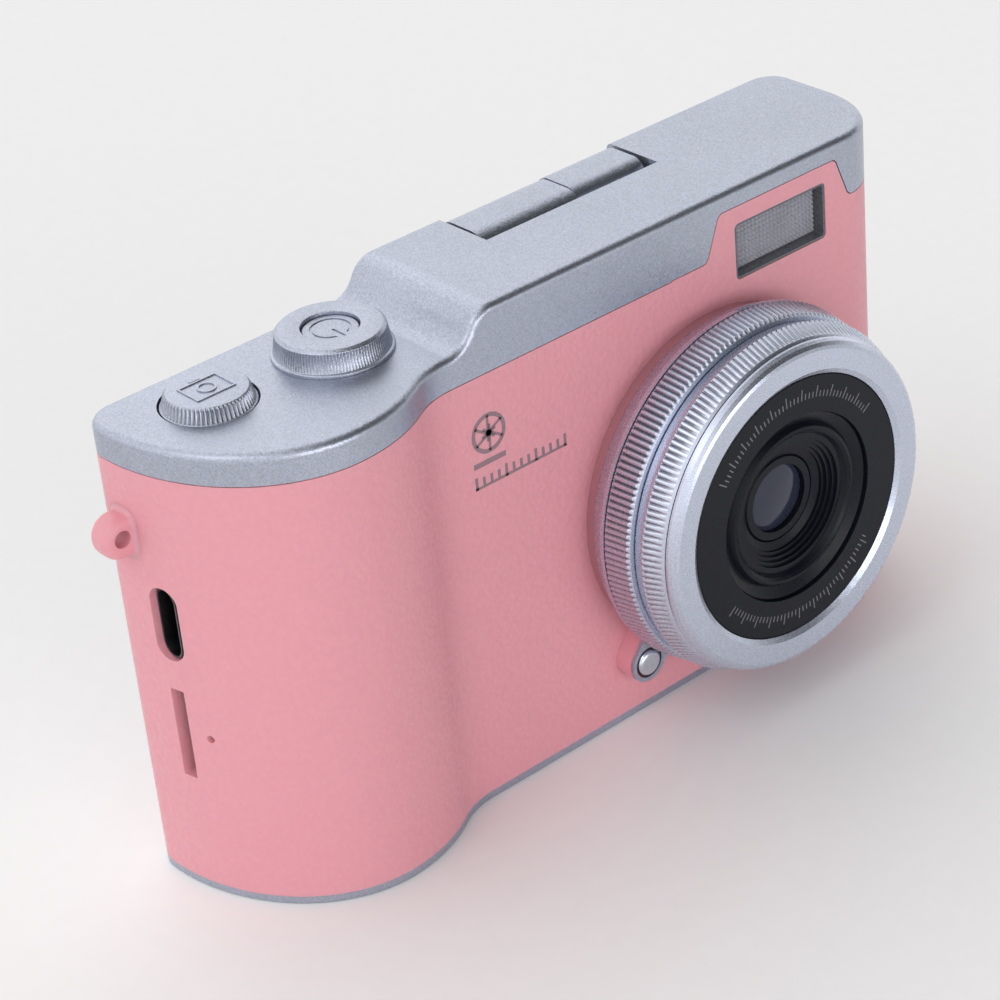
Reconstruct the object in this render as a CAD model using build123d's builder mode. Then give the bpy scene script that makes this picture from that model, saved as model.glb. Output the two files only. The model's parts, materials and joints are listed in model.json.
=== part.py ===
"""Compact digital camera with a flip-up screen, as separate named pieces, in millimetres.

Frame: origin at the middle of the base, +Z up, the lens looks along -Y, the grip is at -X.
"""
from build123d import *
import math
import os

os.makedirs("parts", exist_ok=True)

# ---------------------------------------------------------------- driving dimensions
# Plan view of the body
FRONT_Y = -11.25            # flat front face of the slab
REAR_Y = 11.25              # flat rear face
RIGHT_X = 55.95             # right end
LEFT_X = -55.8              # left end, on the grip side
GRIP_X = -36.7              # where the grip stands furthest forward
GRIP_Y = -16.15
GRIP_END_X = -19.7          # where the grip has run out into the flat front
GRIP_CREST_R = 21.0         # convex arc on top of the grip
REAR_LEFT_R = 4.0
REAR_RIGHT_R = 3.8
RIGHT_NOSE = (9.2, 11.5)    # half axes of the elliptical front right corner
WALL = 1.6                  # wall of the covers
SEAM = 0.12                 # visible gap between covers

# Heights
BASE_T = 1.1                # bottom plate
PARTING_Z = 58.3            # joint between the front cover and the top cover
LOW_DECK_Z = 62.2
HIGH_DECK_Z = 66.6
STEP_LOW_X = -19.6          # foot and head of the step between the decks
STEP_HIGH_X = -12.4
DECK_EDGE_R = 0.9
BASE_EDGE = 0.15            # chamfer round the foot of the bottom plate
REAR_SPLIT_Y = 8.9          # joint between the front cover and the rear cover

# Raised tab of the front cover around the flash
TAB_TOP_Z = 64.05
TAB_FOOT = (21.8, 46.8)     # left and right end where the tab leaves the parting line
TAB_HEAD = (24.1, 44.5)     # left and right end of its top
TAB_HEAD_R = 0.95
TAB_FOOT_R = 1.2

# Lens
LENS_X, LENS_Z = 21.3, 29.4
TUBE_R = 20.0               # outside of the tube that carries the rings
RUN_GAP = 0.05              # radial running clearance of rings and pins
RING_GAP = 0.12             # end gap between turning and standing rings

# Flash
FLASH_X = (26.6, 42.6)
FLASH_Z = (54.1, 61.75)
FLASH_RECESS = 1.5
FLASH_CORNER = 0.7          # corner radius of the opening
FLASH_LINER = 0.3           # wall of the black liner in the opening

# Screen hinge
HINGE_Y = 7.0
HINGE_Z = 62.35
BARREL_HALF = 4.25          # half of the barrel's square section
BARREL_R = 2.45             # its corner radius
NOTCH_X = (-1.9, 26.45)
NOTCH_R = 5.15              # free radius round the hinge axis inside the notch
BARREL_X = (-1.5, 14.4, 25.8)
PIN_R = 1.5
BAY_R = 5.5                 # body material near the screen stays inside this radius
SCREEN_ARC_R = 5.8          # screen material stays outside this radius

# Screen and its bay in the back
SCREEN_X = (-25.5, 50.5)
SCREEN_Z = (6.0, 57.7)
SCREEN_FRONT_Y = 5.95
SCREEN_GAP = 0.4
BAY_FLOOR_Y = 5.65
BAY_WALL = 1.6

# Controls on the top
DIAL_AT = (-26.7, 1.15)
SHUTTER_AT = (-43.75, 2.45)
SHUTTER_TRAVEL = 0.8
POWER_TRAVEL = 0.5

# Lens release, on a radial tab below and left of the lens
RELEASE_DIST = 25.85
RELEASE_ANGLE = 230.75
RELEASE_HALF = 2.75
RELEASE_HEIGHT = 2.65       # housing above the flat front, in two steps that clear the lens mount
RELEASE_STEP = 1.4
RELEASE_PLATE_T = 0.5
RELEASE_HOLE_R = 2.15
RELEASE_TRAVEL = 0.6

# Controls on the back: name, x, z, radius of the cap, radius of a hole through the cap
REAR_BUTTONS = [
    ("zoom_in_button", -34.6, 48.5, 3.4, 0.0),
    ("zoom_out_button", -46.4, 48.5, 3.4, 0.0),
    ("navigation_ring", -40.5, 29.4, 9.4, 4.5),
    ("ok_button", -40.5, 29.4, 4.2, 0.0),
    ("menu_button", -46.4, 11.0, 3.1, 0.0),
    ("playback_button", -34.6, 11.0, 3.1, 0.0),
]
REAR_PROUD = 0.6
REAR_TRAVEL = 0.4
KEY_GAP = 0.15

# Left end wall
USB_AT = (0.8, 38.1)        # (y, z) of the middle of the opening
USB_OPENING = (4.05, 9.9)
CARD_AT = (0.85, 22.8)
CARD_OPENING = (2.0, 12.4)
RESET_AT = (-2.95, 23.1)
LUG_AT = (5.2, 49.4)        # (y, z) of the strap lug
LUG_EAR_R = 2.75
LUG_T = 3.6
LUG_FOOT_R = 0.7            # hollow fillet where the lug grows out of the wall
LUG_HOLE_R = 1.1

# Board planes
BOARD_Y = (2.75, 3.75)
KEY_BOARD_Y = (6.0, 6.9)

# Bottom
TRIPOD_AT = (10.0, -1.0)
TRIPOD_R = 3.175            # quarter-inch camera thread, as a plain bore
SCREW_AT = [(-52.1, 2.0), (-36.7, -12.3), (-1.5, -7.5), (46.5, -7.5)]
SCREW_R = 0.8
SPEAKER_AT = (-42.5, -3.5)

LENS_AXIS = Axis((LENS_X, 0, LENS_Z), (0, 1, 0))
LENS_SECTION = Plane(origin=(LENS_X, 0, LENS_Z), x_dir=(1, 0, 0), z_dir=(0, 0, 1))


# ---------------------------------------------------------------- shared shapes
def block(low, high, mode=Mode.ADD):
    """Box between two corners, in the part being built."""
    middle = [(a + b) / 2 for a, b in zip(low, high)]
    size = [b - a for a, b in zip(low, high)]
    with Locations(tuple(middle)):
        return Box(*size, mode=mode)


def rod(start, axis_dir, radius, length, mode=Mode.ADD):
    """Cylinder from a point along a direction, in the part being built."""
    plane = Plane(origin=start, z_dir=axis_dir)
    with Locations(plane.location):
        return Cylinder(
            radius, length, align=(Align.CENTER, Align.CENTER, Align.MIN), mode=mode
        )


def plan_outline(z, inset=0.0):
    """Plan view of the body at height z, moved inwards by inset.

    Every stretch is a line or an arc, so the inset only changes radii: the convex ones shrink by it and
    the hollow one between grip and front grows by it.
    """
    run = GRIP_END_X - GRIP_X
    rise = FRONT_Y - GRIP_Y
    turn = 2 * math.atan2(rise, run)
    hollow_r = run / math.sin(turn) - GRIP_CREST_R
    turn_deg = math.degrees(turn)
    grip_a = GRIP_X - LEFT_X
    grip_b = REAR_Y - REAR_LEFT_R - GRIP_Y
    nose_a, nose_b = RIGHT_NOSE
    nose_x = RIGHT_X - nose_a
    nose_y = FRONT_Y + nose_b
    with BuildSketch(Plane.XY.offset(z)) as plan:
        with BuildLine():
            Line((LEFT_X + REAR_LEFT_R, REAR_Y - inset), (RIGHT_X - REAR_RIGHT_R, REAR_Y - inset))
            CenterArc((RIGHT_X - REAR_RIGHT_R, REAR_Y - REAR_RIGHT_R), REAR_RIGHT_R - inset, 0, 90)
            Line((RIGHT_X - inset, REAR_Y - REAR_RIGHT_R), (RIGHT_X - inset, nose_y))
            EllipticalCenterArc(
                (nose_x, nose_y), nose_a - inset, nose_b - inset, start_angle=270, arc_size=90
            )
            Line((nose_x, FRONT_Y + inset), (GRIP_END_X, FRONT_Y + inset))
            CenterArc((GRIP_END_X, FRONT_Y - hollow_r), hollow_r + inset, 90, turn_deg)
            CenterArc((GRIP_X, GRIP_Y + GRIP_CREST_R), GRIP_CREST_R - inset, 270, turn_deg)
            EllipticalCenterArc(
                (GRIP_X, GRIP_Y + grip_b), grip_a - inset, grip_b - inset, start_angle=180, arc_size=90
            )
            CenterArc(
                (LEFT_X + REAR_LEFT_R, REAR_Y - REAR_LEFT_R), REAR_LEFT_R - inset, 90, 90
            )
        make_face()
    return plan.sketch


def above_decks(inset=0.0):
    """Side view, seen along Y, of everything above the stepped deck, lowered by inset.

    The step is two equal arcs that meet in a common tangent.
    """
    run = (STEP_HIGH_X - STEP_LOW_X) / 2
    rise = (HIGH_DECK_Z - LOW_DECK_Z) / 2
    turn = 2 * math.atan2(rise, run)
    radius = run / math.sin(turn)
    turn_deg = math.degrees(turn)
    low, high = LOW_DECK_Z - inset, HIGH_DECK_Z - inset
    sky = HIGH_DECK_Z + 6
    with BuildSketch(Plane.XZ.offset(-REAR_Y - 10)) as side:
        with BuildLine():
            Line((LEFT_X - 9, low), (STEP_LOW_X, low))
            CenterArc((STEP_LOW_X, LOW_DECK_Z + radius), radius + inset, 270, turn_deg)
            CenterArc((STEP_HIGH_X, HIGH_DECK_Z - radius), radius - inset, 90, turn_deg)
            Polyline(
                (STEP_HIGH_X, high), (RIGHT_X + 9, high), (RIGHT_X + 9, sky),
                (LEFT_X - 9, sky), (LEFT_X - 9, low),
            )
        make_face()
    return side.sketch


def tab_outline(grow=0.0):
    """Front view of the raised tab of the front cover round the flash, grown by grow."""
    foot_l, foot_r = TAB_FOOT[0] - grow, TAB_FOOT[1] + grow
    head_l, head_r = TAB_HEAD[0] - grow, TAB_HEAD[1] + grow
    foot_z, head_z = PARTING_Z + grow, TAB_TOP_Z + grow
    with BuildSketch(Plane.XZ.offset(-FRONT_Y + 3)) as tab:
        with BuildLine():
            Polyline(
                (foot_l - 6, PARTING_Z - 3), (foot_l - 6, foot_z), (foot_l, foot_z), (head_l, head_z),
                (head_r, head_z), (foot_r, foot_z), (foot_r + 6, foot_z), (foot_r + 6, PARTING_Z - 3),
                close=True,
            )
        make_face()
        # inside a sketch, the height of a corner is its Y
        heads = tab.vertices().filter_by(lambda v: v.Y > head_z - 0.1)
        fillet(heads, TAB_HEAD_R + grow)
        feet = tab.vertices().filter_by(
            lambda v: abs(v.Y - foot_z) < 0.1 and foot_l - 1 < v.X < foot_r + 1
        )
        fillet(feet, TAB_FOOT_R - grow)
    return tab.sketch


def lens_outline(*points):
    """Closed (radius, y) outline in the plane through the lens axis."""
    with BuildSketch(LENS_SECTION) as section:
        with BuildLine():
            Polyline(*points, close=True)
        make_face()
    return section.sketch


def release_outline(y, inner_r):
    """Radial tab that carries the lens release: straight sides, a round end, in the plane at y.

    It stops at inner_r from the lens axis.
    """
    angle = math.radians(RELEASE_ANGLE)
    end = (LENS_X + RELEASE_DIST * math.cos(angle), LENS_Z + RELEASE_DIST * math.sin(angle))
    inner = RELEASE_DIST - 6.5
    root = (LENS_X + inner * math.cos(angle), LENS_Z + inner * math.sin(angle))
    with BuildSketch(Plane.XZ.offset(-y)) as tab:
        with Locations(end):
            Circle(RELEASE_HALF)
        with Locations(((end[0] + root[0]) / 2, (end[1] + root[1]) / 2)):
            Rectangle(RELEASE_DIST - inner, 2 * RELEASE_HALF, rotation=RELEASE_ANGLE)
        with Locations((LENS_X, LENS_Z)):
            Circle(inner_r, mode=Mode.SUBTRACT)
    return tab.sketch


RELEASE_AT = (
    LENS_X + RELEASE_DIST * math.cos(math.radians(RELEASE_ANGLE)),
    LENS_Z + RELEASE_DIST * math.sin(math.radians(RELEASE_ANGLE)),
)


def flash_outline(y, inset=0.0):
    """Rounded opening of the flash in the plane at y, moved inwards by inset."""
    width, height = FLASH_X[1] - FLASH_X[0] - 2 * inset, FLASH_Z[1] - FLASH_Z[0] - 2 * inset
    with BuildSketch(Plane.XZ.offset(-y)) as opening:
        with Locations(((FLASH_X[0] + FLASH_X[1]) / 2, (FLASH_Z[0] + FLASH_Z[1]) / 2)):
            RectangleRounded(width, height, FLASH_CORNER - min(inset, 0.4))
    return opening.sketch


def side_slot(x, at, size, corner, depth, mode=Mode.SUBTRACT):
    """Rounded slot through the left end wall: at is (y, z), size is (width in y, height in z)."""
    with BuildSketch(Plane(origin=(x, at[0], at[1]), x_dir=(0, 1, 0), z_dir=(1, 0, 0))) as slot:
        RectangleRounded(size[0], size[1], corner)
    extrude(slot.sketch, amount=depth, mode=mode)


def screen_bay():
    """Space cut for the screen in the back: a box, less the rounded wall below the hinge axis."""
    with BuildPart() as bay:
        block(
            (SCREEN_X[0] - SCREEN_GAP, BAY_FLOOR_Y, SCREEN_Z[0] - SCREEN_GAP),
            (SCREEN_X[1] + SCREEN_GAP, REAR_Y + 5, HINGE_Z),
        )
        rod((SCREEN_X[0] - 5, HINGE_Y, HINGE_Z), (1, 0, 0), BAY_R, 90, Mode.SUBTRACT)
    return bay.part


def hinge_notch():
    """Space in which the hinge barrels turn: open to the top and to the back."""
    with BuildPart() as notch:
        rod((NOTCH_X[0], HINGE_Y, HINGE_Z), (1, 0, 0), NOTCH_R, NOTCH_X[1] - NOTCH_X[0])
        block(
            (NOTCH_X[0], HINGE_Y - NOTCH_R, HINGE_Z),
            (NOTCH_X[1], REAR_Y + 5, HIGH_DECK_Z + 5),
        )
        block((NOTCH_X[0], BAY_FLOOR_Y, SCREEN_Z[1] - 8), (NOTCH_X[1], REAR_Y + 5, HINGE_Z + 1))
    return notch.part


# ---------------------------------------------------------------- covers
with BuildPart() as bottom_plate:
    extrude(plan_outline(0), amount=BASE_T)
    chamfer(bottom_plate.edges().group_by(Axis.Z)[0], BASE_EDGE)
    for screw_x, screw_y in SCREW_AT:
        rod((screw_x, screw_y, -0.1), (0, 0, 1), SCREW_R + 0.1, BASE_T + 1, Mode.SUBTRACT)
        rod((screw_x, screw_y, -0.1), (0, 0, 1), 1.6, 0.7, Mode.SUBTRACT)
    rod((*TRIPOD_AT, -0.1), (0, 0, 1), 5.0, BASE_T + 1, Mode.SUBTRACT)
    with Locations((*SPEAKER_AT, BASE_T / 2)):
        with PolarLocations(3.0, 6):
            Cylinder(0.6, BASE_T + 1, mode=Mode.SUBTRACT)
        Cylinder(0.6, BASE_T + 1, mode=Mode.SUBTRACT)
bottom_plate.part.label = "bottom_plate"
export_step(bottom_plate.part, "parts/bottom_plate.step")

with BuildPart() as tab_prism:
    extrude(tab_outline(), amount=-6)

with BuildPart() as above_seam:
    block((LEFT_X - 1, GRIP_Y - 1, PARTING_Z - SEAM), (RIGHT_X + 1, REAR_Y + 1, HIGH_DECK_Z + 1))
    add(tab_prism.part, mode=Mode.SUBTRACT)

with BuildPart() as front_cover:
    extrude(plan_outline(BASE_T), amount=TAB_TOP_Z - BASE_T)
    extrude(plan_outline(BASE_T - 1, WALL), amount=TAB_TOP_Z + 3, mode=Mode.SUBTRACT)
    add(above_seam.part, mode=Mode.SUBTRACT)
    block((LEFT_X - 1, REAR_SPLIT_Y - SEAM / 2, 0), (RIGHT_X + 1, REAR_Y + 1, 80), Mode.SUBTRACT)
    for screw_x, screw_y in SCREW_AT:
        rod((screw_x, screw_y, BASE_T), (0, 0, 1), 2.4, 7)
    extrude(plan_outline(BASE_T - 1), amount=80, mode=Mode.INTERSECT)
    for screw_x, screw_y in SCREW_AT:
        rod((screw_x, screw_y, 0), (0, 0, 1), SCREW_R, 7, Mode.SUBTRACT)
    rod((LENS_X, FRONT_Y - 3, LENS_Z), (0, 1, 0), TUBE_R, 6, Mode.SUBTRACT)
    extrude(flash_outline(FRONT_Y + 3), amount=5, mode=Mode.SUBTRACT)
    rod((RELEASE_AT[0], FRONT_Y - 1, RELEASE_AT[1]), (0, 1, 0), 1.1, 4, Mode.SUBTRACT)
    side_slot(LEFT_X - 2, USB_AT, USB_OPENING, USB_OPENING[0] / 2 - 0.01, 6)
    side_slot(LEFT_X - 2, CARD_AT, CARD_OPENING, 0.2, 6)
    rod((LEFT_X - 2, *RESET_AT), (1, 0, 0), 0.5, 6, Mode.SUBTRACT)
front_cover.part.label = "front_cover"
export_step(front_cover.part, "parts/front_cover.step")

with BuildPart() as rear_cover:
    extrude(plan_outline(BASE_T), amount=PARTING_Z - SEAM - BASE_T)
    extrude(plan_outline(BASE_T - 1, WALL), amount=80, mode=Mode.SUBTRACT)
    block((LEFT_X, REAR_Y - WALL, BASE_T), (RIGHT_X, REAR_Y, PARTING_Z - SEAM))
    extrude(plan_outline(BASE_T - 1), amount=80, mode=Mode.INTERSECT)
    block((LEFT_X - 1, GRIP_Y - 1, 0), (RIGHT_X + 1, REAR_SPLIT_Y + SEAM / 2, 80), Mode.SUBTRACT)
    block(
        (SCREEN_X[0] - SCREEN_GAP - BAY_WALL, BAY_FLOOR_Y - BAY_WALL, SCREEN_Z[0] - SCREEN_GAP - BAY_WALL),
        (SCREEN_X[1] + SCREEN_GAP + BAY_WALL, REAR_Y - 1, PARTING_Z - SEAM),
    )
    add(screen_bay(), mode=Mode.SUBTRACT)
    add(hinge_notch(), mode=Mode.SUBTRACT)
    for _, key_x, key_z, key_r, _ in REAR_BUTTONS:
        rod((key_x, REAR_Y - 3, key_z), (0, 1, 0), key_r + KEY_GAP, 6, Mode.SUBTRACT)
rear_cover.part.label = "rear_cover"
export_step(rear_cover.part, "parts/rear_cover.step")

with BuildPart() as seam_tab_prism:
    extrude(tab_outline(SEAM), amount=-6)

with BuildPart() as deck_cavity:
    extrude(plan_outline(PARTING_Z - 5, WALL), amount=30)
    extrude(above_decks(WALL), amount=60, mode=Mode.SUBTRACT)

with BuildPart() as top_cover:
    extrude(plan_outline(PARTING_Z), amount=HIGH_DECK_Z - PARTING_Z + 1)
    extrude(above_decks(), amount=60, mode=Mode.SUBTRACT)
    deck_edges = top_cover.edges().filter_by(
        lambda e: e.center().Z > PARTING_Z + 3
        and not (abs(e.tangent_at(0.5).Y) > 0.99 and STEP_LOW_X - 2 < e.center().X < STEP_HIGH_X + 2)
        and abs(e.tangent_at(0.5).Z) < 0.98
    )
    fillet(deck_edges, DECK_EDGE_R)
    add(deck_cavity.part, mode=Mode.SUBTRACT)
    add(seam_tab_prism.part, mode=Mode.SUBTRACT)
    # walls of the hinge notch, hanging under the deck
    block(
        (NOTCH_X[0] - WALL, HINGE_Y - NOTCH_R - WALL, PARTING_Z - 2.5),
        (NOTCH_X[1] + WALL, BAY_FLOOR_Y - BAY_WALL - 0.1, HIGH_DECK_Z - 0.5),
    )
    for wall_x in (NOTCH_X[0] - WALL, NOTCH_X[1]):
        block(
            (wall_x, HINGE_Y - NOTCH_R - WALL, PARTING_Z),
            (wall_x + WALL, REAR_Y - 0.5, HIGH_DECK_Z - 0.5),
        )
    # pocket and stem guide of the shutter button
    rod((*SHUTTER_AT, 59.4), (0, 0, 1), 7.0, LOW_DECK_Z - 60)
    add(screen_bay(), mode=Mode.SUBTRACT)
    add(hinge_notch(), mode=Mode.SUBTRACT)
    rod((*SHUTTER_AT, 60.4), (0, 0, 1), 5.95, 5, Mode.SUBTRACT)
    rod((*SHUTTER_AT, 55), (0, 0, 1), 2.05, 10, Mode.SUBTRACT)
    rod((*DIAL_AT, 55), (0, 0, 1), 3.6, 10, Mode.SUBTRACT)
    rod((NOTCH_X[0] - 4, HINGE_Y, HINGE_Z), (1, 0, 0), PIN_R, NOTCH_X[1] - NOTCH_X[0] + 8, Mode.SUBTRACT)
top_cover.part.label = "top_cover"
export_step(top_cover.part, "parts/top_cover.step")

# ---------------------------------------------------------------- lens, from the body outwards
with BuildPart() as lens_tube:
    revolve(
        lens_outline(
            (18.6, -24.8), (TUBE_R, -24.8), (TUBE_R, -9.6), (24.4, -9.6), (24.4, -8.2), (18.6, -8.2)
        ),
        axis=LENS_AXIS,
    )
    with BuildSketch(Plane.XZ.offset(7)) as lens_screw_places:
        with Locations((LENS_X, LENS_Z)):
            with PolarLocations(22.4, 3, start_angle=30):
                Circle(0.85)
    extrude(lens_screw_places.sketch, amount=5, mode=Mode.SUBTRACT)
lens_tube.part.label = "lens_tube"
export_step(lens_tube.part, "parts/lens_tube.step")

with BuildPart() as lens_screws:
    with BuildSketch(Plane.XZ.offset(7.2)) as lens_screw_heads:
        with Locations((LENS_X, LENS_Z)):
            with PolarLocations(22.4, 3, start_angle=30):
                Circle(1.6)
    extrude(lens_screw_heads.sketch, amount=0.98)
    with BuildSketch(Plane.XZ.offset(8)) as lens_screw_shanks:
        with Locations((LENS_X, LENS_Z)):
            with PolarLocations(22.4, 3, start_angle=30):
                Circle(0.8)
    extrude(lens_screw_shanks.sketch, amount=1.6)
lens_screws.part.label = "lens_screws"
export_step(lens_screws.part, "parts/lens_screws.step")

with BuildPart() as lens_collar:
    revolve(
        lens_outline((TUBE_R, FRONT_Y), (22.3, FRONT_Y), (22.3, -12.7), (TUBE_R, -12.7)),
        axis=LENS_AXIS,
    )
lens_collar.part.label = "lens_collar"
export_step(lens_collar.part, "parts/lens_collar.step")

with BuildPart() as mount_ring:
    revolve(
        lens_outline(
            (TUBE_R, -12.7), (22.4, -12.7), (22.7, -13.0), (23.75, -15.2), (23.75, -15.83), (TUBE_R, -15.83)
        ),
        axis=LENS_AXIS,
    )
mount_ring.part.label = "mount_ring"
export_step(mount_ring.part, "parts/mount_ring.step")

REAR_RING_Y = (-19.9, -15.95)
with BuildPart() as rear_ring:
    revolve(
        lens_outline(
            (TUBE_R + RUN_GAP, REAR_RING_Y[1]), (23.7, REAR_RING_Y[1]), (23.95, REAR_RING_Y[1] - 0.25),
            (23.4, REAR_RING_Y[0] + 0.35), (22.9, REAR_RING_Y[0]), (TUBE_R + RUN_GAP, REAR_RING_Y[0]),
        ),
        axis=LENS_AXIS,
    )
rear_ring.part.label = "rear_ring"
export_step(rear_ring.part, "parts/rear_ring.step")

FRONT_RING_Y = (-24.7, REAR_RING_Y[0] - RING_GAP)
with BuildPart() as front_ring:
    revolve(
        lens_outline(
            (TUBE_R + RUN_GAP, FRONT_RING_Y[1]), (22.5, FRONT_RING_Y[1]), (22.75, -21.75), (23.2, -21.95),
            (22.15, -24.35), (21.9, FRONT_RING_Y[0]), (TUBE_R + RUN_GAP, FRONT_RING_Y[0]),
        ),
        axis=LENS_AXIS,
    )
front_ring.part.label = "front_ring"
export_step(front_ring.part, "parts/front_ring.step")

BEZEL_FRONT_Y = -26.2
with BuildPart() as lens_bezel:
    revolve(
        lens_outline(
            (17.65, -24.82), (21.9, -24.82), (22.0, -24.95), (21.93, -25.2), (21.7, -25.65),
            (21.3, -26.03), (20.9, BEZEL_FRONT_Y), (18.3, BEZEL_FRONT_Y), (17.65, -25.75),
        ),
        axis=LENS_AXIS,
    )
lens_bezel.part.label = "lens_bezel"
export_step(lens_bezel.part, "parts/lens_bezel.step")

with BuildPart() as name_ring:
    revolve(
        lens_outline((12.6, -24.95), (17.6, -24.95), (17.6, -25.6), (17.45, -25.75), (12.6, -25.75)),
        axis=LENS_AXIS,
    )
name_ring.part.label = "name_ring"
export_step(name_ring.part, "parts/name_ring.step")

with BuildPart() as lens_baffle:
    revolve(
        lens_outline(
            (18.55, -24.8), (12.5, -24.8), (12.4, -25.2), (11.0, -24.5), (10.5, -25.1), (10.1, -25.2),
            (9.7, -24.9), (9.3, -24.3), (8.6, -24.3), (8.6, -23.9), (8.05, -23.9), (8.05, -23.5),
            (7.5, -23.5), (7.5, -23.1), (6.95, -23.1), (6.95, -22.7), (5.9, -22.3), (5.9, -21.2),
            (10.6, -21.2), (10.6, -23.2), (18.55, -23.2),
        ),
        axis=LENS_AXIS,
    )
lens_baffle.part.label = "lens_baffle"
export_step(lens_baffle.part, "parts/lens_baffle.step")

with BuildPart() as lens_barrel:
    revolve(
        lens_outline(
            (4.6, -22.4), (5.6, -22.4), (5.85, -22.1), (5.85, -21.1), (7.4, -21.1), (7.4, -5.6), (3.6, -5.6),
            (3.6, -9.0), (3.0, -9.0), (3.0, -10.0), (3.6, -10.0), (3.6, -14.6), (4.0, -14.6),
            (4.0, -19.6), (4.65, -19.6), (4.65, -22.1),
        ),
        axis=LENS_AXIS,
    )
lens_barrel.part.label = "lens_barrel"
export_step(lens_barrel.part, "parts/lens_barrel.step")


def lens_element(y_front, y_rear, radius, bulge):
    """Round plano-convex glass: a cylinder from y_front to y_rear, with a ball's cap on its front.

    The ball's radius follows from the cap's radius and height.
    """
    ball_r = (radius**2 + bulge**2) / (2 * bulge)
    rod((LENS_X, y_front - bulge, LENS_Z), (0, 1, 0), radius, y_rear - y_front + bulge)
    with Locations((LENS_X, y_front - bulge + ball_r, LENS_Z)):
        Sphere(ball_r, mode=Mode.INTERSECT)


with BuildPart() as front_element:
    lens_element(-21.6, -19.65, 4.6, 0.75)
front_element.part.label = "front_element"
export_step(front_element.part, "parts/front_element.step")

with BuildPart() as middle_element:
    lens_element(-13.6, -12.0, 3.55, 0.5)

with BuildPart() as inner_elements:
    lens_element(-8.2, -6.6, 3.55, 0.4)
    add(middle_element.part)
inner_elements.part.label = "inner_elements"
export_step(inner_elements.part, "parts/inner_elements.step")

with BuildPart() as aperture_stop:
    revolve(lens_outline((1.4, -10.3), (3.55, -10.3), (3.55, -10.05), (1.4, -10.05)), axis=LENS_AXIS)
aperture_stop.part.label = "aperture_stop"
export_step(aperture_stop.part, "parts/aperture_stop.step")

with BuildPart() as lens_holder:
    block((LENS_X - 9, -5.5, LENS_Z - 9), (LENS_X + 9, -1.0, LENS_Z + 9))
    rod((LENS_X, -6, LENS_Z), (0, 1, 0), 3.4, 2.0, Mode.SUBTRACT)
    block((LENS_X - 4.5, -4.2, LENS_Z - 4.5), (LENS_X + 4.5, 0, LENS_Z + 4.5), Mode.SUBTRACT)
lens_holder.part.label = "lens_holder"
export_step(lens_holder.part, "parts/lens_holder.step")

with BuildPart() as ir_filter:
    block((LENS_X - 4.4, -3.9, LENS_Z - 4.4), (LENS_X + 4.4, -3.4, LENS_Z + 4.4))
ir_filter.part.label = "ir_filter"
export_step(ir_filter.part, "parts/ir_filter.step")

with BuildPart() as image_sensor:
    block((LENS_X - 4.2, -2.4, LENS_Z - 4.2), (LENS_X + 4.2, -1.0, LENS_Z + 4.2))
image_sensor.part.label = "image_sensor"
export_step(image_sensor.part, "parts/image_sensor.step")

with BuildPart() as sensor_board:
    block((LENS_X - 11, -0.98, LENS_Z - 10), (LENS_X + 11, 0.0, LENS_Z + 10))
sensor_board.part.label = "sensor_board"
export_step(sensor_board.part, "parts/sensor_board.step")

# ---------------------------------------------------------------- lens release
with BuildPart() as release_housing:
    extrude(release_outline(FRONT_Y, 22.35), amount=RELEASE_STEP)
    extrude(release_outline(FRONT_Y - RELEASE_STEP, 23.25), amount=RELEASE_HEIGHT - RELEASE_STEP)
    rod((RELEASE_AT[0], FRONT_Y - 4, RELEASE_AT[1]), (0, 1, 0), RELEASE_HOLE_R, 7, Mode.SUBTRACT)
release_housing.part.label = "release_housing"
export_step(release_housing.part, "parts/release_housing.step")

with BuildPart() as release_plate:
    extrude(release_outline(FRONT_Y - RELEASE_HEIGHT, 23.45), amount=RELEASE_PLATE_T)
    rod((RELEASE_AT[0], FRONT_Y - 4, RELEASE_AT[1]), (0, 1, 0), RELEASE_HOLE_R, 7, Mode.SUBTRACT)
release_plate.part.label = "release_plate"
export_step(release_plate.part, "parts/release_plate.step")

RELEASE_TOP_Y = FRONT_Y - RELEASE_HEIGHT - 0.9
with BuildPart() as release_button:
    rod((RELEASE_AT[0], RELEASE_TOP_Y, RELEASE_AT[1]), (0, 1, 0), 1.85, 1.5)
    fillet(release_button.edges().sort_by(Axis.Y)[0], 0.6)
    rod((RELEASE_AT[0], RELEASE_TOP_Y + 1.3, RELEASE_AT[1]), (0, 1, 0), 1.0, 5.45)
release_button.part.label = "release_button"
export_step(release_button.part, "parts/release_button.step")

# ---------------------------------------------------------------- flash
flash_mid = ((FLASH_X[0] + FLASH_X[1]) / 2, (FLASH_Z[0] + FLASH_Z[1]) / 2)
flash_size = (FLASH_X[1] - FLASH_X[0], FLASH_Z[1] - FLASH_Z[0])
FLASH_FIT = 0.05
with BuildPart() as flash_frame:
    extrude(flash_outline(FRONT_Y + 4.95, FLASH_FIT), amount=4.85)
    extrude(flash_outline(FRONT_Y + 5, FLASH_FIT + FLASH_LINER), amount=6, mode=Mode.SUBTRACT)
flash_frame.part.label = "flash_frame"
export_step(flash_frame.part, "parts/flash_frame.step")

with BuildPart() as flash_window:
    extrude(flash_outline(FRONT_Y + FLASH_RECESS + 1.2, 2 * FLASH_FIT + FLASH_LINER), amount=1.2)
flash_window.part.label = "flash_window"
export_step(flash_window.part, "parts/flash_window.step")

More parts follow.
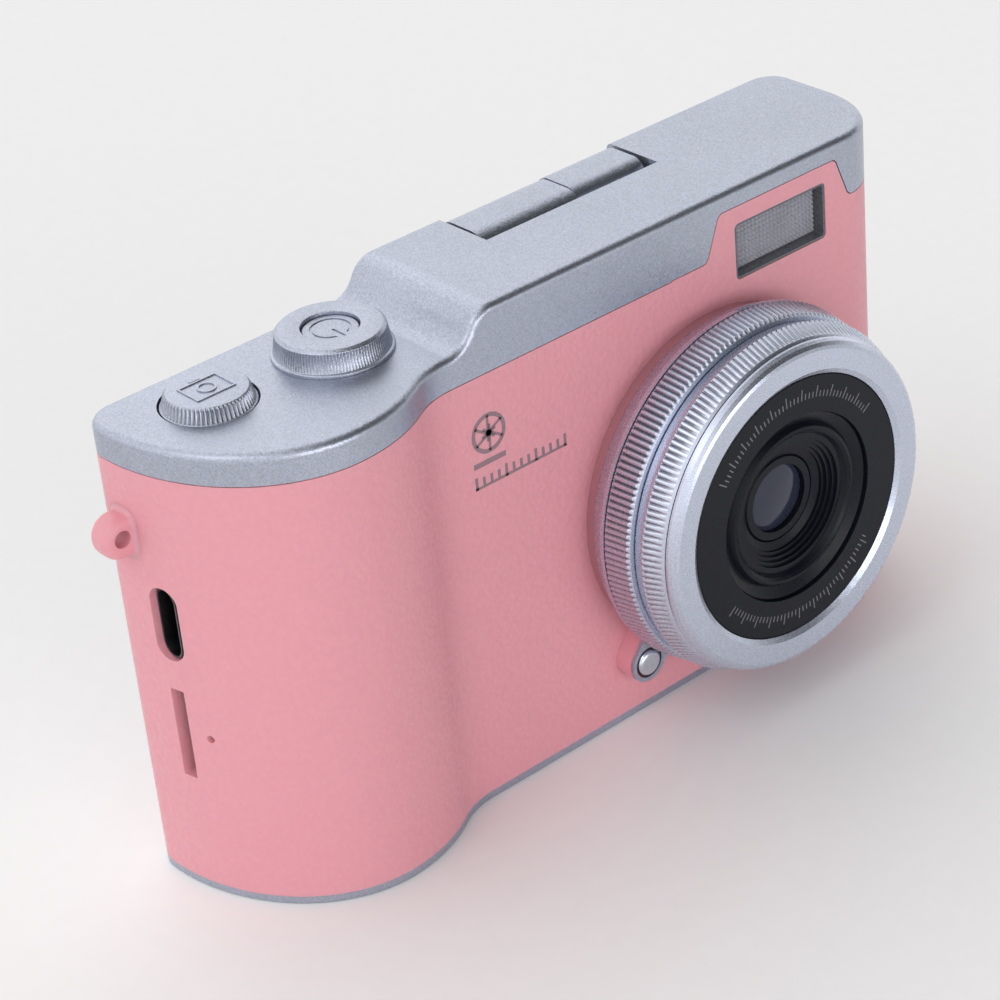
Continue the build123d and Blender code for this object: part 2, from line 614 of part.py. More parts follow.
with BuildPart() as flash_reflector:
    with BuildSketch(Plane.XZ.offset(-FRONT_Y - FLASH_RECESS - 3.4)) as trough:
        with Locations(flash_mid):
            Rectangle(flash_size[0] - 2.0, flash_size[1] - 2.0)
    extrude(trough.sketch, amount=2.1)
    with BuildSketch(Plane.XZ.offset(-FRONT_Y - FLASH_RECESS - 2.9)) as trough_floor:
        with Locations(flash_mid):
            Rectangle(flash_size[0] - 5.0, flash_size[1] - 4.0)
    with BuildSketch(Plane.XZ.offset(-FRONT_Y - FLASH_RECESS - 1.29)) as trough_mouth:
        with Locations(flash_mid):
            Rectangle(flash_size[0] - 2.6, flash_size[1] - 2.6)
    loft([trough_floor.sketch.face(), trough_mouth.sketch.face()], mode=Mode.SUBTRACT)
flash_reflector.part.label = "flash_reflector"
export_step(flash_reflector.part, "parts/flash_reflector.step")

with BuildPart() as flash_board:
    block((FLASH_X[0] - 1, -6.2, FLASH_Z[0] - 1), (FLASH_X[1] + 1, -5.4, FLASH_Z[1] + 0.6))
flash_board.part.label = "flash_board"
export_step(flash_board.part, "parts/flash_board.step")

# ---------------------------------------------------------------- controls on the top
DIAL_TOP_Z = LOW_DECK_Z + 3.2
POWER_SUNK = 0.4            # the power button lies this far below the top of the dial
with BuildPart() as power_dial:
    with BuildSketch(Plane.XY.offset(LOW_DECK_Z)) as dial_foot:
        with Locations(DIAL_AT):
            Circle(7.35)
    extrude(dial_foot.sketch, amount=0.6)
    chamfer(power_dial.edges().group_by(Axis.Z)[-1], 0.25)
    upright = (Align.CENTER, Align.CENTER, Align.MIN)
    with Locations((*DIAL_AT, LOW_DECK_Z + 0.6)):
        Cone(6.9, 6.6, 2.3, align=upright)
    with Locations((*DIAL_AT, LOW_DECK_Z + 2.9)):
        Cone(6.6, 6.3, 0.3, align=upright)
    rod((*DIAL_AT, 55), (0, 0, 1), 3.55, 12, Mode.SUBTRACT)
power_dial.part.label = "power_dial"
export_step(power_dial.part, "parts/power_dial.step")

with BuildPart() as power_button:
    rod((*DIAL_AT, 61.4), (0, 0, 1), 3.4, DIAL_TOP_Z - POWER_SUNK - 61.4)
    fillet(power_button.edges().group_by(Axis.Z)[-1], 0.2)
    rod((*DIAL_AT, 57.35), (0, 0, 1), 1.5, 5)
    with BuildSketch(Plane.XY.offset(DIAL_TOP_Z - POWER_SUNK)) as power_mark:
        with Locations(DIAL_AT):
            Circle(2.5)
            Circle(2.15, mode=Mode.SUBTRACT)
            with Locations((0, -2.3)):
                Rectangle(1.5, 1.8, mode=Mode.SUBTRACT)
            with Locations((0, -1.6)):
                Rectangle(0.36, 2.4)
    extrude(power_mark.sketch, amount=-0.15, mode=Mode.SUBTRACT)
power_button.part.label = "power_button"
export_step(power_button.part, "parts/power_button.step")

with BuildPart() as shutter_button:
    with BuildSketch(Plane.XY.offset(61.4)) as cap_plan:
        with Locations(SHUTTER_AT):
            Circle(5.7)
    extrude(cap_plan.sketch, amount=2.5)
    chamfer(shutter_button.edges().group_by(Axis.Z)[-1], length=1.05, length2=0.9)
    with BuildSketch(Plane.XY.offset(61.4)) as cap_hollow:
        with Locations(SHUTTER_AT):
            Circle(4.7)
            Circle(2.0, mode=Mode.SUBTRACT)
    extrude(cap_hollow.sketch, amount=1.4, mode=Mode.SUBTRACT)
    rod((*SHUTTER_AT, 57.65), (0, 0, 1), 2.0, 5)
shutter_button.part.label = "shutter_button"
export_step(shutter_button.part, "parts/shutter_button.step")

with BuildPart() as shutter_spring:
    with BuildLine() as coil:
        Helix(pitch=0.62, height=1.86, radius=3.1, center=(*SHUTTER_AT, 60.65))
    with BuildSketch(coil.line ^ 0):
        Circle(0.2)
    sweep(path=coil.line, is_frenet=True)
shutter_spring.part.label = "shutter_spring"
export_step(shutter_spring.part, "parts/shutter_spring.step")

with BuildPart() as top_board:
    block((-48.5, -7.0, 54.2), (-28.2, 5.6, 55.0))
    block((-28.2, -7.0, 54.2), (-20.5, 3.9, 55.0))
    # the switches under the shutter button and the power button
    block(
        (SHUTTER_AT[0] - 2.6, SHUTTER_AT[1] - 2.6, 55.0),
        (SHUTTER_AT[0] + 2.6, SHUTTER_AT[1] + 2.6, 56.2),
    )
    rod((*SHUTTER_AT, 56.2), (0, 0, 1), 1.2, 0.6)
    block((DIAL_AT[0] - 2.6, DIAL_AT[1] - 2.6, 55.0), (DIAL_AT[0] + 2.6, DIAL_AT[1] + 2.6, 56.2))
    rod((*DIAL_AT, 56.2), (0, 0, 1), 1.2, 0.6)
top_board.part.label = "top_board"
export_step(top_board.part, "parts/top_board.step")

# ---------------------------------------------------------------- left end: lug, sockets, reset
with BuildPart() as strap_lug:
    with BuildSketch(Plane.XZ.offset(-LUG_AT[0] - LUG_T / 2)) as lug_plan:
        with Locations((LEFT_X - 1.15, LUG_AT[1])):
            Circle(LUG_EAR_R)
        with Locations((LEFT_X + 0.6, LUG_AT[1])):
            Rectangle(3.5, 2 * LUG_EAR_R)
    extrude(lug_plan.sketch, amount=LUG_T)
    fillet(strap_lug.faces().filter_by(Axis.Y).edges(), 1.2)
    add(front_cover.part)
    foot = strap_lug.edges().filter_by(
        lambda e: abs(e.center().Z - LUG_AT[1]) < 3.2
        and abs(e.center().Y - LUG_AT[0]) < 2.2
        and LEFT_X - 0.1 < e.center().X < LEFT_X + 0.6
        and max(v.X for v in e.vertices()) < LEFT_X + 0.6
    )
    fillet(foot, LUG_FOOT_R)
    rod((LEFT_X - 1.45, LUG_AT[0] - 5, LUG_AT[1] + 0.2), (0, 1, 0), LUG_HOLE_R, 10, Mode.SUBTRACT)
    add(front_cover.part, mode=Mode.SUBTRACT)
    block((LEFT_X + 1.0, -20, 0), (RIGHT_X, 20, 80), Mode.SUBTRACT)
strap_lug.part.label = "strap_lug"
export_step(strap_lug.part, "parts/strap_lug.step")

with BuildPart() as usb_shell:
    side_slot(-54.55, USB_AT, (3.6, 9.3), 1.75, 7.75, Mode.ADD)
    side_slot(-54.6, USB_AT, (3.1, 8.8), 1.5, 7.3, Mode.SUBTRACT)
usb_shell.part.label = "usb_shell"
export_step(usb_shell.part, "parts/usb_shell.step")

with BuildPart() as usb_tongue:
    block((-53.4, USB_AT[0] - 0.35, USB_AT[1] - 3.3), (-47.3, USB_AT[0] + 0.35, USB_AT[1] + 3.3))
usb_tongue.part.label = "usb_tongue"
export_step(usb_tongue.part, "parts/usb_tongue.step")

with BuildPart() as card_socket:
    block((-52.8, -0.1, CARD_AT[1] - 7.2), (-39.5, BOARD_Y[0], CARD_AT[1] + 7.2))
    block((-55.0, 0.3, CARD_AT[1] - 5.8), (-40.5, 1.4, CARD_AT[1] + 5.8), Mode.SUBTRACT)
card_socket.part.label = "card_socket"
export_step(card_socket.part, "parts/card_socket.step")

with BuildPart() as reset_switch:
    block((-50.5, RESET_AT[0] - 1.6, RESET_AT[1] - 2.0), (-48.5, -0.2, RESET_AT[1] + 2.0))
    rod((-51.5, *RESET_AT), (1, 0, 0), 0.6, 1.2)
reset_switch.part.label = "reset_switch"
export_step(reset_switch.part, "parts/reset_switch.step")

# ---------------------------------------------------------------- inside
CHIPS = [(-8, 30, 12, 12), (-24, 42, 9, 11), (-24, 20, 6, 5), (40, 16, 8, 6)]  # x, z, width, height

with BuildPart() as main_board:
    block((-51.5, BOARD_Y[0], 9.0), (50.0, BOARD_Y[1], 53.8))
    block((-60, 0, 31.5), (-49.5, 10, 44.7), Mode.SUBTRACT)
    for chip_x, chip_z, chip_w, chip_h in CHIPS:
        block(
            (chip_x - chip_w / 2, BOARD_Y[0] - 1.1, chip_z - chip_h / 2),
            (chip_x + chip_w / 2, BOARD_Y[0], chip_z + chip_h / 2),
        )
main_board.part.label = "main_board"
export_step(main_board.part, "parts/main_board.step")

with BuildPart() as chassis:
    block((-35.8, -2.4, 3.0), (49.0, -1.4, 53.6))
    block((LENS_X - 12, -3, LENS_Z - 11), (LENS_X + 12, 0, LENS_Z + 11), Mode.SUBTRACT)
    block((TRIPOD_AT[0] - 8, -6.5, 3.0), (TRIPOD_AT[0] + 8, 2.2, 4.4))
    rod((*TRIPOD_AT, 2), (0, 0, 1), 5.0, 8, Mode.SUBTRACT)
chassis.part.label = "chassis"
export_step(chassis.part, "parts/chassis.step")

with BuildPart() as battery:
    block((-38.0, -8.5, 9.2), (-4.5, -2.5, 53.4))
    fillet(battery.edges().filter_by(Axis.Z), 1.6)
battery.part.label = "battery"
export_step(battery.part, "parts/battery.step")

with BuildPart() as speaker:
    rod((*SPEAKER_AT, BASE_T + 0.4), (0, 0, 1), 6.4, 3.2)
    rod((*SPEAKER_AT, BASE_T + 3.6), (0, 0, 1), 3.6, 1.4)
speaker.part.label = "speaker"
export_step(speaker.part, "parts/speaker.step")

with BuildPart() as tripod_insert:
    rod((*TRIPOD_AT, 0.2), (0, 0, 1), 4.9, 7.3)
    rod((*TRIPOD_AT, -1), (0, 0, 1), TRIPOD_R, 7.5, Mode.SUBTRACT)
tripod_insert.part.label = "tripod_insert"
export_step(tripod_insert.part, "parts/tripod_insert.step")

with BuildPart() as case_screws:
    for screw_x, screw_y in SCREW_AT:
        rod((screw_x, screw_y, 0.1), (0, 0, 1), 1.5, 0.45)
        rod((screw_x, screw_y, 0.5), (0, 0, 1), SCREW_R - 0.02, 5.5)
        with BuildSketch(Plane.XY.offset(0.1)) as drive:
            with Locations((screw_x, screw_y)):
                Rectangle(1.7, 0.35)
                Rectangle(0.35, 1.7)
        extrude(drive.sketch, amount=0.3, mode=Mode.SUBTRACT)
case_screws.part.label = "case_screws"
export_step(case_screws.part, "parts/case_screws.step")

# ---------------------------------------------------------------- controls on the back
with BuildPart() as key_board:
    block((-53.0, KEY_BOARD_Y[0], 5.0), (-28.2, KEY_BOARD_Y[1], 54.0))
key_board.part.label = "key_board"
export_step(key_board.part, "parts/key_board.step")

with BuildPart() as key_mat:
    block((-52.0, KEY_BOARD_Y[1], 6.0), (-28.6, 8.0, 53.0))
key_mat.part.label = "key_mat"
export_step(key_mat.part, "parts/key_mat.step")

for key_name, key_x, key_z, key_r, hole_r in REAR_BUTTONS:
    with BuildPart() as key:
        rod((key_x, 8.55, key_z), (0, 1, 0), key_r, REAR_Y + REAR_PROUD - 8.55)
        fillet(key.edges().sort_by(Axis.Y)[-1], 0.3)
        if hole_r:
            rod((key_x, 8, key_z), (0, 1, 0), hole_r, 5, Mode.SUBTRACT)
    key.part.label = key_name
    export_step(key.part, f"parts/{key_name}.step")

# ---------------------------------------------------------------- screen and its hinge
def barrel_section(x, set_back, inset=0.0):
    """Rounded square round the hinge axis, on the plane at x and drawn in by an inset."""
    front = HINGE_Y - BARREL_HALF + set_back
    with BuildSketch(Plane(origin=(x, HINGE_Y, HINGE_Z), x_dir=(0, 1, 0), z_dir=(1, 0, 0))) as section:
        with Locations(((front + REAR_Y) / 2 - HINGE_Y, 0)):
            RectangleRounded(
                REAR_Y - front - 2 * inset, 2 * (BARREL_HALF - inset), BARREL_R - set_back / 2 - inset
            )
    return section.sketch


def barrel(x0, x1, set_back, bore_r):
    """Hinge barrel: a rounded square round the hinge axis with an arm down into the screen's back."""
    with BuildPart() as piece:
        extrude(barrel_section(x0, set_back), amount=x1 - x0)
        block((x0, SCREEN_FRONT_Y, SCREEN_Z[1] - 2.5), (x1, REAR_Y, HINGE_Z - 2.0))
        rod((x0 - 1, HINGE_Y, HINGE_Z), (1, 0, 0), bore_r, x1 - x0 + 2, Mode.SUBTRACT)
    return piece.part


BARREL_GROOVE = (0.3, 0.25)     # width and depth of the line between the two barrels

with BuildPart() as groove_rim:
    extrude(barrel_section(BARREL_X[1] - BARREL_GROOVE[0], 0.0, -1.0), amount=BARREL_GROOVE[0] + 1)
    extrude(
        barrel_section(BARREL_X[1] - BARREL_GROOVE[0] - 1, 0.0, BARREL_GROOVE[1]),
        amount=BARREL_GROOVE[0] + 3, mode=Mode.SUBTRACT,
    )
    block(
        (BARREL_X[1] - 2, BARREL_GROOVE[1] + HINGE_Y - BARREL_HALF, HINGE_Z - 10),
        (BARREL_X[1] + 2, REAR_Y + 2, HINGE_Z), Mode.SUBTRACT,
    )

with BuildPart() as hinge_barrel:
    add(barrel(BARREL_X[0], BARREL_X[1], 0.0, PIN_R + RUN_GAP))
    add(groove_rim.part, mode=Mode.SUBTRACT)
hinge_barrel.part.label = "hinge_barrel"
export_step(hinge_barrel.part, "parts/hinge_barrel.step")

with BuildPart() as cable_barrel:
    add(barrel(BARREL_X[1], BARREL_X[2], 0.7, 2.7))
cable_barrel.part.label = "cable_barrel"
export_step(cable_barrel.part, "parts/cable_barrel.step")

with BuildPart() as hinge_shaft:
    rod((NOTCH_X[0] - 3.5, HINGE_Y, HINGE_Z), (1, 0, 0), PIN_R, NOTCH_X[1] - NOTCH_X[0] + 7)
hinge_shaft.part.label = "hinge_shaft"
export_step(hinge_shaft.part, "parts/hinge_shaft.step")

with BuildPart() as screen_cable:
    rod((BARREL_X[1] + 1.5, HINGE_Y, HINGE_Z), (1, 0, 0), 2.3, 8.0)
    rod((BARREL_X[1] + 1, HINGE_Y, HINGE_Z), (1, 0, 0), PIN_R, 10, Mode.SUBTRACT)
screen_cable.part.label = "screen_cable"
export_step(screen_cable.part, "parts/screen_cable.step")

with BuildPart() as screen_back:
    block((SCREEN_X[0], SCREEN_FRONT_Y, SCREEN_Z[0]), (SCREEN_X[1], REAR_Y, SCREEN_Z[1]))
    fillet(screen_back.edges().filter_by(Axis.Y).group_by(Axis.Z)[0], 2.5)
    block(
        (SCREEN_X[0] + 1.2, SCREEN_FRONT_Y + 1.2, SCREEN_Z[0] + 1.2),
        (SCREEN_X[1] - 1.2, REAR_Y + 1, SCREEN_Z[1] - 2.6), Mode.SUBTRACT,
    )
    rod((SCREEN_X[0] - 1, HINGE_Y, HINGE_Z), (1, 0, 0), SCREEN_ARC_R, 90, Mode.SUBTRACT)
    block(
        (BARREL_X[0], SCREEN_FRONT_Y - 1, SCREEN_Z[1] - 2.5), (BARREL_X[2], REAR_Y + 1, 60), Mode.SUBTRACT
    )
screen_back.part.label = "screen_back"
export_step(screen_back.part, "parts/screen_back.step")

BEZEL_X = (SCREEN_X[0] + 1.3, SCREEN_X[1] - 1.3)
BEZEL_Z = (SCREEN_Z[0] + 1.3, SCREEN_Z[1] - 2.7)
with BuildPart() as screen_bezel:
    block((BEZEL_X[0], 9.3, BEZEL_Z[0]), (BEZEL_X[1], REAR_Y - 0.1, BEZEL_Z[1]))
    block((BEZEL_X[0] + 1.2, 9, BEZEL_Z[0] + 1.2), (BEZEL_X[1] - 1.2, 12, BEZEL_Z[1] - 1.2), Mode.SUBTRACT)
screen_bezel.part.label = "screen_bezel"
export_step(screen_bezel.part, "parts/screen_bezel.step")

with BuildPart() as screen_glass:
    block(
        (BEZEL_X[0] + 1.25, REAR_Y - 1.1, BEZEL_Z[0] + 1.25),
        (BEZEL_X[1] - 1.25, REAR_Y - 0.2, BEZEL_Z[1] - 1.25),
    )
screen_glass.part.label = "screen_glass"
export_step(screen_glass.part, "parts/screen_glass.step")

with BuildPart() as lcd_panel:
    block((BEZEL_X[0] + 1.6, 7.4, BEZEL_Z[0] + 1.6), (BEZEL_X[1] - 1.6, 9.9, BEZEL_Z[1] - 1.6))
lcd_panel.part.label = "lcd_panel"
export_step(lcd_panel.part, "parts/lcd_panel.step")
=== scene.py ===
# %% [markdown]
# # A compact digital camera with a flip-up screen
#
# The camera is a moulded body in satin pink with a fine grain, a silver-painted top in two levels, and a
# round lens with two knurled metal rings. The design already exists as solids in one frame: +Z is up, the
# lens looks along -Y and the grip is at -X. This lesson keeps every solid whose shape is right and gives it
# a real finish, and works out new surfaces where the solids are plainer than the real piece: the knurled
# rings, the dial, the shutter button, the flash window, the keys and the printed marks.

# %% Load the frame
import json
import math

import bmesh
import bpy
import numpy as np
from mathutils import Matrix, Vector

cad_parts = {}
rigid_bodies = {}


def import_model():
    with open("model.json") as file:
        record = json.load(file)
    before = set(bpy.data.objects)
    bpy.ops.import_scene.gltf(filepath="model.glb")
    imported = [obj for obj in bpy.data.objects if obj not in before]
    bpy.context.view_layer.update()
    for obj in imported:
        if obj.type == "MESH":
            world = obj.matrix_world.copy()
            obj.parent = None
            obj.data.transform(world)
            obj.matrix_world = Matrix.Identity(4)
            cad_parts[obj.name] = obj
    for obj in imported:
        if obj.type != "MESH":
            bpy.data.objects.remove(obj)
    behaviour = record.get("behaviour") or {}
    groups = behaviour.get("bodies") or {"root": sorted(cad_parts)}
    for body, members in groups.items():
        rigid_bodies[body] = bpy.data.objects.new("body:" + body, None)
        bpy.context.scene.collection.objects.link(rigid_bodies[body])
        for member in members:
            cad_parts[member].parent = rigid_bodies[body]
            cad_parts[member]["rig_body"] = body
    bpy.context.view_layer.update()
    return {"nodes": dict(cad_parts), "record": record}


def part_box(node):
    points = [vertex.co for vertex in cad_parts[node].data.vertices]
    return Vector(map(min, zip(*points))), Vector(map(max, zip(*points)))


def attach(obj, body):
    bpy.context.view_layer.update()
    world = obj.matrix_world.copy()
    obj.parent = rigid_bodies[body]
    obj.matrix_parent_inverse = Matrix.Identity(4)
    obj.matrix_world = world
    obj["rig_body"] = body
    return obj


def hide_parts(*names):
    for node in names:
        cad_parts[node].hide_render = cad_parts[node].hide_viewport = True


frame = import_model()

MM = 0.001
BODY = "camera_body"
SLOT_OF = {part["node"]: part["material_slot"] for part in frame["record"]["subparts"]}
BODY_OF = {node: piece["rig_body"] for node, piece in frame["nodes"].items()}

# %% [markdown]
# ## Reading places from the frame
#
# A new piece has to sit where its solid sits, so each place is read from a solid's box instead of being
# typed in. The lens axis, for one, is the middle of the bezel. The surfaces then follow the design if it
# moves.


# %% Places in millimetres
def box_mm(node):
    """Lowest and highest corner of a solid, as two arrays of three millimetres."""
    low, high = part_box(node)
    return np.array(low) / MM, np.array(high) / MM


def middle(node):
    """Middle of a solid's box."""
    low, high = box_mm(node)
    return (low + high) / 2


LENS_X, _, LENS_Z = middle("lens_bezel")
FRONT_Y = box_mm("lens_collar")[1][1]
RIGHT, UP, AHEAD = np.eye(3)[0], np.eye(3)[2], -np.eye(3)[1]
print(f"lens axis at x {LENS_X:.2f}, z {LENS_Z:.2f}; flat front at y {FRONT_Y:.2f}")

# %% [markdown]
# ## Surfaces as arrays
#
# Every new surface is a grid of points: one direction runs along a profile, the other round an axis or along
# a path. Working out the whole grid at once with numpy keeps the code short and exact. Joining the ends of a
# closed direction by wrapping the index leaves no seam, and merging points that meet closes the poles.


# %% Grids
def grid_faces(rows, columns, close_rows=False, close_columns=False):
    """Corner indices of a grid's quads: each quad joins a point to its neighbours ahead and beside."""
    i, j = np.meshgrid(
        np.arange(rows - (not close_rows)), np.arange(columns - (not close_columns)), indexing="ij"
    )
    i, j = i.ravel(), j.ravel()
    ahead, beside = (i + 1) % rows, (j + 1) % columns
    corners = [i * columns + j, i * columns + beside, ahead * columns + beside, ahead * columns + j]
    return np.stack(corners, axis=1)


def shape_of(points, close_rows=False, close_columns=False):
    """Points and faces of one grid of shape (rows, columns, 3)."""
    rows, columns, _ = points.shape
    return points.reshape(-1, 3), grid_faces(rows, columns, close_rows, close_columns).tolist()


def joined(shapes):
    """Several (points, faces) put together as one."""
    points, faces, start = [], [], 0
    for some_points, some_faces in shapes:
        points.append(some_points)
        faces += [[corner + start for corner in face] for face in some_faces]
        start += len(some_points)
    return np.concatenate(points), faces


print("a ring of 3 by 4 points closed both ways has", len(grid_faces(3, 4, True, True)), "quads")


# %% Making a piece
def add_piece(
    name, shape, material, body=BODY, stands_for=(), crease_deg=35.0, groove=None
):
    """Make a piece from points in millimetres: merge, turn the faces outwards, shade, and ride on a body.

    The groove, one number from 0 to 1 for each point, becomes an attribute that a finish can read.
    """
    points, faces = shape
    mesh = bpy.data.meshes.new(name)
    mesh.from_pydata((points * MM).tolist(), [], faces)
    if groove is not None:
        mesh.attributes.new("groove", "FLOAT", "POINT").data.foreach_set("value", groove.ravel())
    work = bmesh.new()
    work.from_mesh(mesh)
    bmesh.ops.remove_doubles(work, verts=work.verts, dist=1e-7)
    bmesh.ops.recalc_face_normals(work, faces=work.faces)
    work.to_mesh(mesh)
    work.free()
    mesh.shade_smooth()
    mesh.set_sharp_from_angle(angle=math.radians(crease_deg))
    mesh.materials.append(material)
    piece = bpy.data.objects.new(name, mesh)
    bpy.context.scene.collection.objects.link(piece)
    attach(piece, body)
    if stands_for:
        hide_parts(*stands_for)
    print(f"{name}: {len(mesh.polygons)} faces on {body}")


# %% Profiles and turned surfaces
def rounded(corners, radii, steps=4):
    """A closed outline with its corners rounded.

    An arc of radius r touches a corner's two sides at the distance r / tan(half the angle) from the corner,
    and its middle lies on the bisector at r / sin(half the angle). A radius of 0 keeps the corner.
    """
    corners = np.array(corners, float)
    out = []
    for k, (corner, radius) in enumerate(zip(corners, radii)):
        if radius <= 0:
            out.append(corner[None])
            continue
        before = corners[k - 1] - corner
        after = corners[(k + 1) % len(corners)] - corner
        before /= np.linalg.norm(before)
        after /= np.linalg.norm(after)
        half = math.acos(np.clip(before @ after, -1, 1)) / 2
        bisector = (before + after) / np.linalg.norm(before + after)
        centre = corner + bisector * radius / math.sin(half)
        start = corner + before * radius / math.tan(half) - centre
        end = corner + after * radius / math.tan(half) - centre
        t = np.linspace(0, 1, steps + 1)[:, None]
        sweep = math.pi - 2 * half
        out.append(centre + (np.sin((1 - t) * sweep) * start + np.sin(t * sweep) * end) / math.sin(sweep))
    return np.concatenate(out)


def turned(profile, centre, axis, count, cut=None):
    """Surface of revolution of (radius, height) pairs round an axis through a centre.

    A point is centre + height * axis + radius * (cos a * X + sin a * axis cross X). The cut, a function of
    angle and profile, is taken off the radius, so that it can make a knurl.
    """
    profile = np.array(profile, float)
    other = np.cross(axis, RIGHT)
    angle = np.linspace(0, 2 * math.pi, count, endpoint=False)
    radius = np.repeat(profile[:, :1], count, axis=1)
    if cut is not None:
        radius = radius - cut(angle[None, :], profile)
    spoke = np.cos(angle)[:, None] * RIGHT + np.sin(angle)[:, None] * other
    return np.array(centre) + profile[:, 1][:, None, None] * axis + radius[:, :, None] * spoke


def knurl(teeth, depth, low, high, run_out=0.12, sharpness=2.5):
    """A cut of straight teeth between two heights.

    Its depth at an angle a is depth * |cos(teeth * a / 2)| ** sharpness, so the ridges are round and the
    grooves narrow, and it runs out to nothing over a short length past both heights.
    """

    def cut(angle, profile):
        height = profile[:, 1]
        inside = np.minimum(height - low, high - height) / run_out + 1
        wave = np.abs(np.cos(teeth * angle / 2)) ** sharpness
        return depth * np.clip(inside, 0, 1)[:, None] * wave

    return cut


def groove_depth(cut, profile, count, depth):
    """How deep each point of a knurled surface lies in a groove, from 0 on a ridge to 1."""
    angle = np.linspace(0, 2 * math.pi, count, endpoint=False)
    return cut(angle[None, :], np.array(profile, float)) / depth


SQUARE = [(0, 0), (1, 0), (1, 1), (0, 1)]
print("a square with four round corners has", len(rounded(SQUARE, [0.2] * 4)), "points")

# %% [markdown]
# ## Strokes and plates
#
# Printed and raised marks are thin solids on a flat face. A stroke is a narrow rectangle carried along a
# path, and a plate is an outline with a thickness. Both are laid out in the face's own two directions and
# then placed in space, so one pair of functions serves the front, the top, the keys and the lens.


# %% Marks
def stroke(path, width, thickness, closed=False):
    """Solid line along a path of (u, v) pairs.

    At each point the line's sides lie half the width off the path, along the mean of the normals of the two
    segments that meet there, lengthened by 1 / cos(half the turn) so that the width stays even.
    """
    path = np.array(path, float)
    ahead = np.roll(path, -1, axis=0) - path
    if not closed:
        ahead[-1] = ahead[-2]
    ahead /= np.linalg.norm(ahead, axis=1, keepdims=True)
    behind = np.roll(ahead, 1, axis=0)
    if not closed:
        behind[0] = ahead[0]
    normal = np.stack([-(ahead + behind)[:, 1], (ahead + behind)[:, 0]], axis=1)
    normal /= np.linalg.norm(normal, axis=1, keepdims=True)
    side = np.stack([-ahead[:, 1], ahead[:, 0]], axis=1)
    normal *= (width / 2) / np.maximum((normal * side).sum(1, keepdims=True), 0.3)
    section = []
    for sign, height in ((1, 0), (1, thickness), (-1, thickness), (-1, 0)):
        section.append(np.column_stack([path + sign * normal, np.full(len(path), height)]))
    points, faces = shape_of(np.stack(section), close_rows=True, close_columns=closed)
    if not closed:
        n = len(path)
        faces += [[0, n, 2 * n, 3 * n], [4 * n - 1, 3 * n - 1, 2 * n - 1, n - 1]]
    return points, faces


def plate(outline, thickness):
    """Solid with a flat outline of (u, v) pairs: the outline twice, side walls, and two end faces."""
    outline = np.array(outline, float)
    n = len(outline)
    layers = [np.column_stack([outline, np.full(n, height)]) for height in (0, thickness)]
    points, faces = shape_of(np.stack(layers), close_columns=True)
    return points, faces + [list(range(n)), list(range(2 * n - 1, n - 1, -1))]


def placed(shape, origin, u_axis, v_axis, out_axis):
    """Move a shape from its own (u, v, height) to origin + u * u_axis + v * v_axis + height * out_axis."""
    points, faces = shape
    return np.array(origin) + points @ np.stack([u_axis, v_axis, out_axis]), faces


def arc(radius, start_deg, end_deg, count):
    """Points on a circle about the origin: radius * (cos a, sin a)."""
    a = np.radians(np.linspace(start_deg, end_deg, count))
    return radius * np.column_stack([np.cos(a), np.sin(a)])


def rectangle(width, height, centre=(0, 0)):
    """The four corners of a rectangle about a centre."""
    return np.array(centre) + np.array([[-1, -1], [1, -1], [1, 1], [-1, 1]]) * (width / 2, height / 2)


print("shapes: grids, profiles, turned surfaces, knurls, strokes and plates")

# %% [markdown]
# ## Finishes
#
# A finish is a small tree of nodes. Its patterns read Object coordinates in metres, so a scale of 1000 gives
# a feature of about a millimetre on every piece. Each finish has three layers of detail: a slight drift of
# colour, an uneven gloss, and a relief that bends the light without changing the shape. A number that is the
# same all over the surface is set on the shader itself, where every program can read it.


